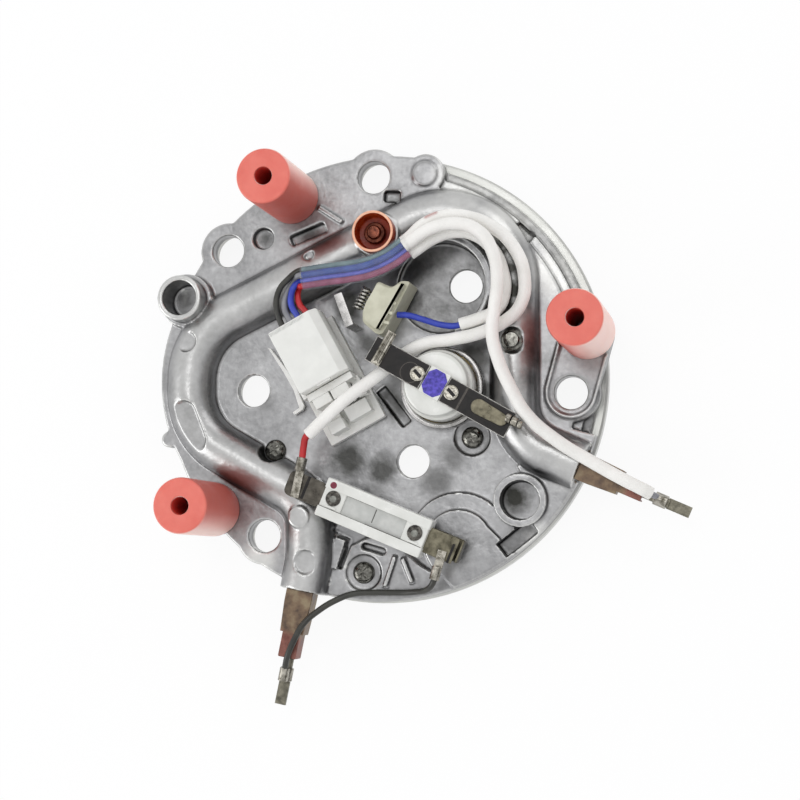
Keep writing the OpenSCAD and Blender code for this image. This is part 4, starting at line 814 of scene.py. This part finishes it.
def make_bar():
    low, high = BAR_Z, BAR_Z + 6
    body = block((-15.5, -5.7, low), (15.5, 5.1, high), 0.45, 3)
    channel = block((-16, -2.95, high - 2.6), (16, 2.35, high + 1), 0.15)
    body = carve(body, channel)
    shoulders = [block((side * 12.1 - 3.2, -3.6, low + 1), (side * 12.1 + 3.2, 3.0, high - 0.35), 0.4, 3) for side in (-1, 1)]
    lip = block((-14.8, 4.2, high - 0.5), (14.8, 4.95, high - 0.02), 0.15)
    body = set_down(join(body, *shoulders, lip), BAR, BAR_TURN)
    settle(body, "bar_ceramic", "white_ceramic", ["bar_body"])
    panel = block((-8.9, -2.9, high - 1.4), (8.9, 2.3, high - 0.9), 0.1)
    line = block((-0.14, -1.9, high - 0.95), (0.14, 1.9, high - 0.5))
    settle(set_down(carve(panel, line), BAR, BAR_TURN), "bar_panel", "grey_panel", ["bar_leaf_left", "bar_leaf_right"])
    # Dark strips in the seams round the panel: painted shade
    seams = [block((-0.14, -1.9, high - 1.3), (0.14, 1.9, high - 0.93)), block((-8.6, 2.2, high - 1.3), (-0.8, 2.42, high - 0.88)),
             block((-1.5, -3.05, high - 1.3), (15.0, -2.8, high - 0.3)), block((-15.0, -3.05, high - 1.3), (-9.0, -2.8, high - 0.3))]
    settle(set_down(join(*seams), BAR, BAR_TURN), "bar_panel_seam_shade", "dark_recess")
    bowls = join(*[turned([(0.01, high - 0.34), (2.1, high - 0.34), (2.1, high - 0.2), (1.95, high - 0.12), (1.7, high - 0.2),
                           (1.3, high - 0.3), (0.01, high - 0.32)], (side * 12.1, 0.15), 40) for side in (-1, 1)])
    settle(set_down(bowls, BAR, BAR_TURN), "bar_rivets_rolled", "dark_rivet", ["bar_rivets"])
    cores = join(*[turned([(0.01, high - 0.3), (1.0, high - 0.3), (0.9, high - 0.18), (0.01, high - 0.1)],
                          (side * 12.1, 0.0), 24) for side in (-1, 1)])
    settle(set_down(cores, BAR, BAR_TURN), "bar_rivet_cores", "grey_rivet")
    crescents = join(*[set_down(block((-1.5, -0.3, 0), (1.5, 0.3, 0.5), 0.2), (side * 12.1 + 0.3, -2.35), 0, high - 0.5) for side in (-1, 1)])
    settle(set_down(crescents, BAR, BAR_TURN), "bar_seat_lips", "white_ceramic")
    dot = turned([(0.01, high - 0.06), (0.95, high - 0.06), (0.9, high + 0.04), (0.01, high + 0.05)], (-13.3, 3.5), 24)
    settle(set_down(dot, BAR, BAR_TURN), "bar_paint_dot", "maroon_paint")
    left = plate([(-26.4, -3.9), (-15.3, -3.9), (-15.3, 3.1), (-26.4, 3.1)], BAR_Z + 3.0, BAR_Z + 3.6, 1.6, 0.14)
    settle(set_down(left, BAR, BAR_TURN), "bar_tab_left", "leaf_metal", bare=None)
    right = plate([(15.2, -3.9), (23.8, -3.9), (23.8, 3.1), (15.2, 3.1)], BAR_Z + 3.0, BAR_Z + 3.6, 0.4, 0.14)
    settle(set_down(right, BAR, BAR_TURN), "bar_tab_right", "brass_sheet")
    # Black strips on the tabs for the slits: painted shade
    slits = [block((22.4, -4.0, BAR_Z + 3.5), (23.1, 1.4, BAR_Z + 3.66)),
             block((-21.3, -3.4, BAR_Z + 3.5), (-20.5, 3.1, BAR_Z + 3.66))]
    settle(set_down(join(*slits), BAR, BAR_TURN), "bar_tab_slit_shade", "blade_steel")
    settle(soften(copy_of("bar_bracket"), 0.14), "bar_bracket_bent", "brass_sheet", ["bar_bracket"])
    for side in ("left", "right"):
        settle(soften(copy_of(f"bar_crimp_{side}"), 0.14), f"bar_crimp_{side}_folded", "tinned_steel", [f"bar_crimp_{side}"])


# Connector
# Outline of the thin lip that runs down beside the tray and turns in under it
TRAY_LIP = [(-32.2, 8.8), (-31.2, 8.4), (-26.6, 2.4), (-23.8, -2.6), (-21.6, -7.6), (-22.0, -8.8), (-24.4, -10.2),
            (-24.9, -9.4), (-23.0, -8.2), (-24.6, -3.4), (-27.6, 1.8)]


def make_connector():
    z = 15.0
    shell = plate([(-7.35, -9.5), (7.35, -9.5), (7.35, 9.5), (-7.35, 9.5)], z, z + 10, 0.5, 0.3)
    slope = block((-3, -12, -3), (3, 12, 3))
    slope = set_down(slope, (0, 0))
    pick(slope)
    slope.rotation_euler = (0, math.radians(45), 0)
    slope.location = Vector((7.35 + 1.05, 0, z + 10 + 1.05)) * MM
    bpy.ops.object.transform_apply(location=True, rotation=True, scale=True)
    shell = carve(shell, slope)
    ways = join(*[block(((i - 1.5) * 2.5 - 1.05, 4, z + 3.55), ((i - 1.5) * 2.5 + 1.05, 12, z + 5.65)) for i in range(4)])
    shell = carve(shell, ways)
    ridges = [block((-7.45, -8.6, z + 2.2), (-7.25, 8.8, z + 3.0), 0.06), block((-7.2, 8.2, z + 9.95), (3.6, 9.3, z + 10.0), 0.02)]
    latch = block((-2.2, -9.9, z + 8.2), (2.0, -8.2, z + 9.5), 0.25)
    shell = set_down(join(soften(shell, 0.18), *ridges, latch), CONNECTOR, CONNECTOR_TURN)
    settle(shell, "connector_shell", "connector_nylon", ["connector_housing"])
    z = FLOOR_Z
    floor = block((-8.95, -23.5, z), (8.2, 8.5, z + 2.4), 0.3)
    flange = block((-8.95, -9.5, z + 2.2), (-7.55, 4.5, z + 7.6), 0.3)
    bed = block((-6.35, -8, z + 2), (6.35, 8, z + 7), 0.3)
    wall = block((-6.95, -11.7, z + 2), (6.95, -9.7, z + 12.3), 0.3)
    head_left = block((-6.2, -14.5, z + 2), (-1.0, -11.5, z + 12), 0.35)
    head_right = block((-0.6, -14.5, z + 2), (4.6, -11.5, z + 12), 0.35)
    foot_left = block((-6.35, -22, z + 2), (-1.75, -18.6, z + 8.5), 0.35)
    foot_right = block((-0.6, -21, z + 2), (6.4, -16.8, z + 6.4), 0.4)
    steps = [block((-5.6, -18.4, z + 2.2), (-2.2, -15, z + 5.4), 0.25), block((4.9, -16.4, z + 2.2), (7.6, -10.6, z + 7.6), 0.3),
             block((0.4, -16.4, z + 2.2), (1.3, -14.6, z + 9.0), 0.15), block((2.9, -16.4, z + 2.2), (3.8, -14.6, z + 9.0), 0.15)]
    lip = plate(TRAY_LIP, z + 0.6, z + 2.2, 0.0, 0.15)
    # The lip's lighter nylon is painted light
    settle(lip, "connector_tray_lip", "lip_nylon")
    tray = set_down(join(floor, flange, bed, wall, head_left, head_right, foot_left, foot_right, *steps), CONNECTOR, CONNECTOR_TURN)
    settle(tray, "connector_tray_moulding", "tray_nylon", ["connector_tray"])


# Sensor
def make_sensor():
    outline = [(1.2, 25.1), (5.2, 23.2), (7.8, 25), (10.3, 24.6), (7.6, 19.6), (5.8, 16.2),
               (2.5, 10.4), (0.8, 10.6), (-3, 14), (-3, 17), (-2, 19.6), (-0.2, 22.4)]
    foot = plate(outline, FLOOR_Z, FLOOR_Z + 11.2, 0.8, 0.35)
    crown = plate([(1.6, 24.0), (5.2, 22.4), (8.2, 23.8), (9.2, 23.6), (6.9, 19.8), (5.0, 16.2), (2.2, 11.6), (1.0, 11.8),
                   (-2.0, 14.4), (-2.0, 17), (-1.1, 19.4), (0.6, 22)], FLOOR_Z + 11, FLOOR_Z + 14, 0.8, 0.5)
    ribs = [set_down(block((-3.4, -0.45, 0), (3.4, 0.45, 1.2), 0.25), (1.6 + k * 0.95, 14.0 + k * 2.6), -14, FLOOR_Z + 12.4)
            for k in range(3)]
    settle(join(foot, crown, *ribs), "sensor_holder_moulding", "cream_nylon", ["sensor_holder"])
    axis = Vector((math.cos(math.radians(63)), math.sin(math.radians(63)), 0))
    start = Vector((-4.9, 17.5, FLOOR_Z + 9.8))
    way = []
    side = Vector((-axis.y, axis.x, 0))
    for k in range(6 * 12 + 1):
        turn = math.tau * k / 12
        way.append(start + axis * (0.5 + 6.0 * k / 72) + (side * math.cos(turn) + Vector((0, 0, 1)) * math.sin(turn)) * 1.22)
    settle(strand(way, 0.62, 2), "ribbed_sensor_coil", "spring_steel", ["ribbed_sensor"])
    # The core inside the coil is dark grey painted shade
    settle(rod(start + axis * 0.2, start + axis * 6.7, 0.75, 16, 0.1), "ribbed_sensor_core", "dark_recess")
    strip = block((-4.8, -1.2, 11.2), (4.8, 1.2, 12.0), 0.2)
    leg = block((4.0, -1.2, 0.05), (4.8, 1.2, 11.6), 0.2)
    clip = set_down(join(strip, leg), (-8.1, 17.4), -69.5, FLOOR_Z)
    settle(clip, "sensor_clip_bent", "cap_aluminium", ["sensor_clip"])


# Fasteners and cup
def cross_screw(spot, height, turn, radius=3.0):
    """Cross-head screw: a domed head with four lobes of recess, on a washer face."""
    head = turned([(1.4, height - 1.2), (1.4, height), (radius, height), (radius, height + 0.55), (radius * 0.94, height + 0.95),
                   (radius * 0.78, height + 1.4), (radius * 0.5, height + 1.7), (0.01, height + 1.8)], segments=40)
    bars = [set_down(block((-1.55, -0.34, 0), (1.55, 0.34, 2)), (0, 0), angle, height + 0.85) for angle in (0, 90)]
    head = carve(head, *bars)
    return set_down(head, spot, turn)


def make_fasteners():
    screws = join(cross_screw((25.1, -17), FLOOR_Z - 0.8, 20), cross_screw((-4.7, -53.6), FACE_Z - 0.8, 50),
                  cross_screw((-30.2, -19.8), FLOOR_Z, 35))
    settle(screws, "fixing_screws_plated", "screw_steel", ["fixing_screws"])
    z = CROWN_Z - 0.8
    stud = turned([(1.1, z - 1), (1.1, z), (2.9, z), (3.0, z + 0.2), (3.0, z + 1.0), (2.8, z + 1.25), (2.2, z + 1.4), (2.1, z + 2.0),
                   (1.9, z + 2.3), (0.01, z + 2.4)], (37.3, 8.4), 40)
    settle(stud, "crown_stud_turned", "screw_steel", ["crown_stud"])
    z = CROWN_Z + 0.5
    cup = turned([(1.35, z + 0.02), (5.2, z + 0.02), (5.6, z + 0.3), (5.7, z + 0.8), (5.7, z + 4.6), (5.6, z + 4.9), (5.35, z + 5.0),
                  (5.05, z + 4.85), (4.9, z + 4.5), (4.8, z + 1.6), (4.4, z + 0.95), (1.35, z + 0.8), (1.35, z + 0.02)], (0.2, 38.4), 64)
    settle(cup, "sealing_cup_moulding", "cup_plastic", ["sealing_cup"])
    rim = turned([(5.0, z + 4.86), (5.15, z + 5.0), (5.5, z + 5.0), (5.68, z + 4.85), (5.35, z + 4.8), (5.0, z + 4.86)], (0.2, 38.4), 64)
    # The rim's pale colour is painted light
    settle(rim, "sealing_cup_rim", "pale_rim")
    screw = turned([(1.15, z - 1), (1.15, z + 0.8), (2.9, z + 0.8), (3.0, z + 1.0), (3.0, z + 1.9), (2.7, z + 2.4), (2.0, z + 2.6), (1.95, z + 3.1),
                    (1.6, z + 3.5), (0.01, z + 3.6)], (0.2, 38.4), 40)
    # The screw's red-brown is a painted reflection of the cup
    settle(screw, "cup_screw_turned", "cup_reflecting_screw", ["cup_screw"])


# Terminals
def make_terminals():
    """The stamped and drawn pieces at the exits, with the soft edges of bent sheet and drawn wire."""
    for side in ("bottom", "right"):
        settle(soften(copy_of(f"shroud_{side}"), 0.3, 3), f"shroud_{side}_bent", "shroud_steel", [f"shroud_{side}"])
        settle(soften(copy_of(f"end_crimp_{side}"), 0.12), f"end_crimp_{side}_folded", "tinned_steel", [f"end_crimp_{side}"])
        settle(soften(copy_of(f"cold_pin_{side}"), 0.15), f"cold_pin_{side}_drawn", "aged_tin", [f"cold_pin_{side}"])


# Light and floor
def lamp(name, position, target, size, power, tint="#FFFFFF"):
    data = bpy.data.lights.new(name, "AREA")
    data.shape = "DISK"
    data.size = size
    data.energy = power
    data.color = colour(tint)[:3]
    made = bpy.data.objects.new(name, data)
    bpy.context.scene.collection.objects.link(made)
    made.matrix_world = Matrix.Translation(Vector(position))
    aimed = (Vector(target) - Vector(position)).to_track_quat("-Z", "Y")
    made.matrix_world = Matrix.Translation(Vector(position)) @ aimed.to_matrix().to_4x4()


def seen_directly(tree):
    """1 where the camera, a mirror or glass looks at the surface, else 0."""
    path = add(tree, "LightPath").outputs
    return sums(tree, "MAXIMUM", path["Is Camera Ray"],
                sums(tree, "MAXIMUM", path["Is Glossy Ray"], path["Is Transmission Ray"]))


def set_world():
    """White surroundings, with a darker side low at the right that only gloss shows."""
    world = bpy.data.worlds.new("studio")
    world.use_nodes = True
    bpy.context.scene.world = world
    tree = world.node_tree
    base = tree.nodes["Background"]
    base.inputs["Color"].default_value = colour("#F4F4F6")
    base.inputs["Strength"].default_value = 0.92
    way = add(tree, "TexCoord").outputs["Generated"]
    up = add(tree, "SeparateXYZ", {"Vector": way}).outputs["Z"]
    side = add(tree, "VectorMath", {0: way, 1: (1.0, 0.0, 0.0)}, operation="DOT_PRODUCT").outputs["Value"]
    dim = sums(tree, "MULTIPLY", spread(tree, up, 1.0, 0.0, 0.25, 0.7), spread(tree, side, 0.0, 1.0, 0.55, 0.9))
    dim = sums(tree, "MULTIPLY", dim, add(tree, "LightPath").outputs["Is Glossy Ray"])
    white = add(tree, "Background", {"Color": blend(tree, dim, (1, 1, 1, 1), colour("#6C6A6C")), "Strength": 1.0})
    mixed = add(tree, "MixShader", {0: seen_directly(tree)})
    tree.links.new(base.outputs[0], mixed.inputs[1])
    tree.links.new(white.outputs[0], mixed.inputs[2])
    tree.links.new(mixed.outputs[0], tree.nodes["World Output"].inputs["Surface"])


def set_floor():
    # Matt white paper sweep: lit like paper, and kept near white where it is seen
    bpy.ops.object.select_all(action="DESELECT")
    bpy.ops.mesh.primitive_plane_add(size=6.0, location=(0, 0, -0.0002))
    floor = bpy.context.object
    floor.name = "floor"
    made, tree, shader = surface("white paper floor", Roughness=0.9)
    shader.inputs["Base Color"].default_value = colour("#F6F6F6")
    tooth = cloud(tree, place_of(tree), 3)
    tree.links.new(relief(tree, tooth, 0.02), shader.inputs["Normal"])
    glow = add(tree, "Emission", {"Color": (1, 1, 1, 1), "Strength": 1.0})
    mixed = add(tree, "MixShader", {0: sums(tree, "MULTIPLY", seen_directly(tree), 0.9)})
    tree.links.new(shader.outputs[0], mixed.inputs[1])
    tree.links.new(glow.outputs[0], mixed.inputs[2])
    tree.links.new(mixed.outputs[0], tree.nodes["Material Output"].inputs["Surface"])
    floor.data.materials.append(made)


def set_studio():
    set_world()
    set_floor()
    middle = (0.0, 0.0, 0.01)
    lamp("key", (-0.06, 0.24, 1.0), middle, 0.3, 0.72)
    lamp("low left", (-0.8, -0.3, 0.5), middle, 0.6, 2.2)
    lamp("low right", (0.55, 0.75, 0.45), middle, 0.6, 1.1)


set_camera()
dress_cad_nodes()
make_leads()
make_bundle()
make_casting()
make_standoffs()
make_limiter()
make_bar()
make_connector()
make_sensor()
make_fasteners()
make_terminals()
set_studio()

view = bpy.context.scene.view_settings
view.view_transform = "Standard"
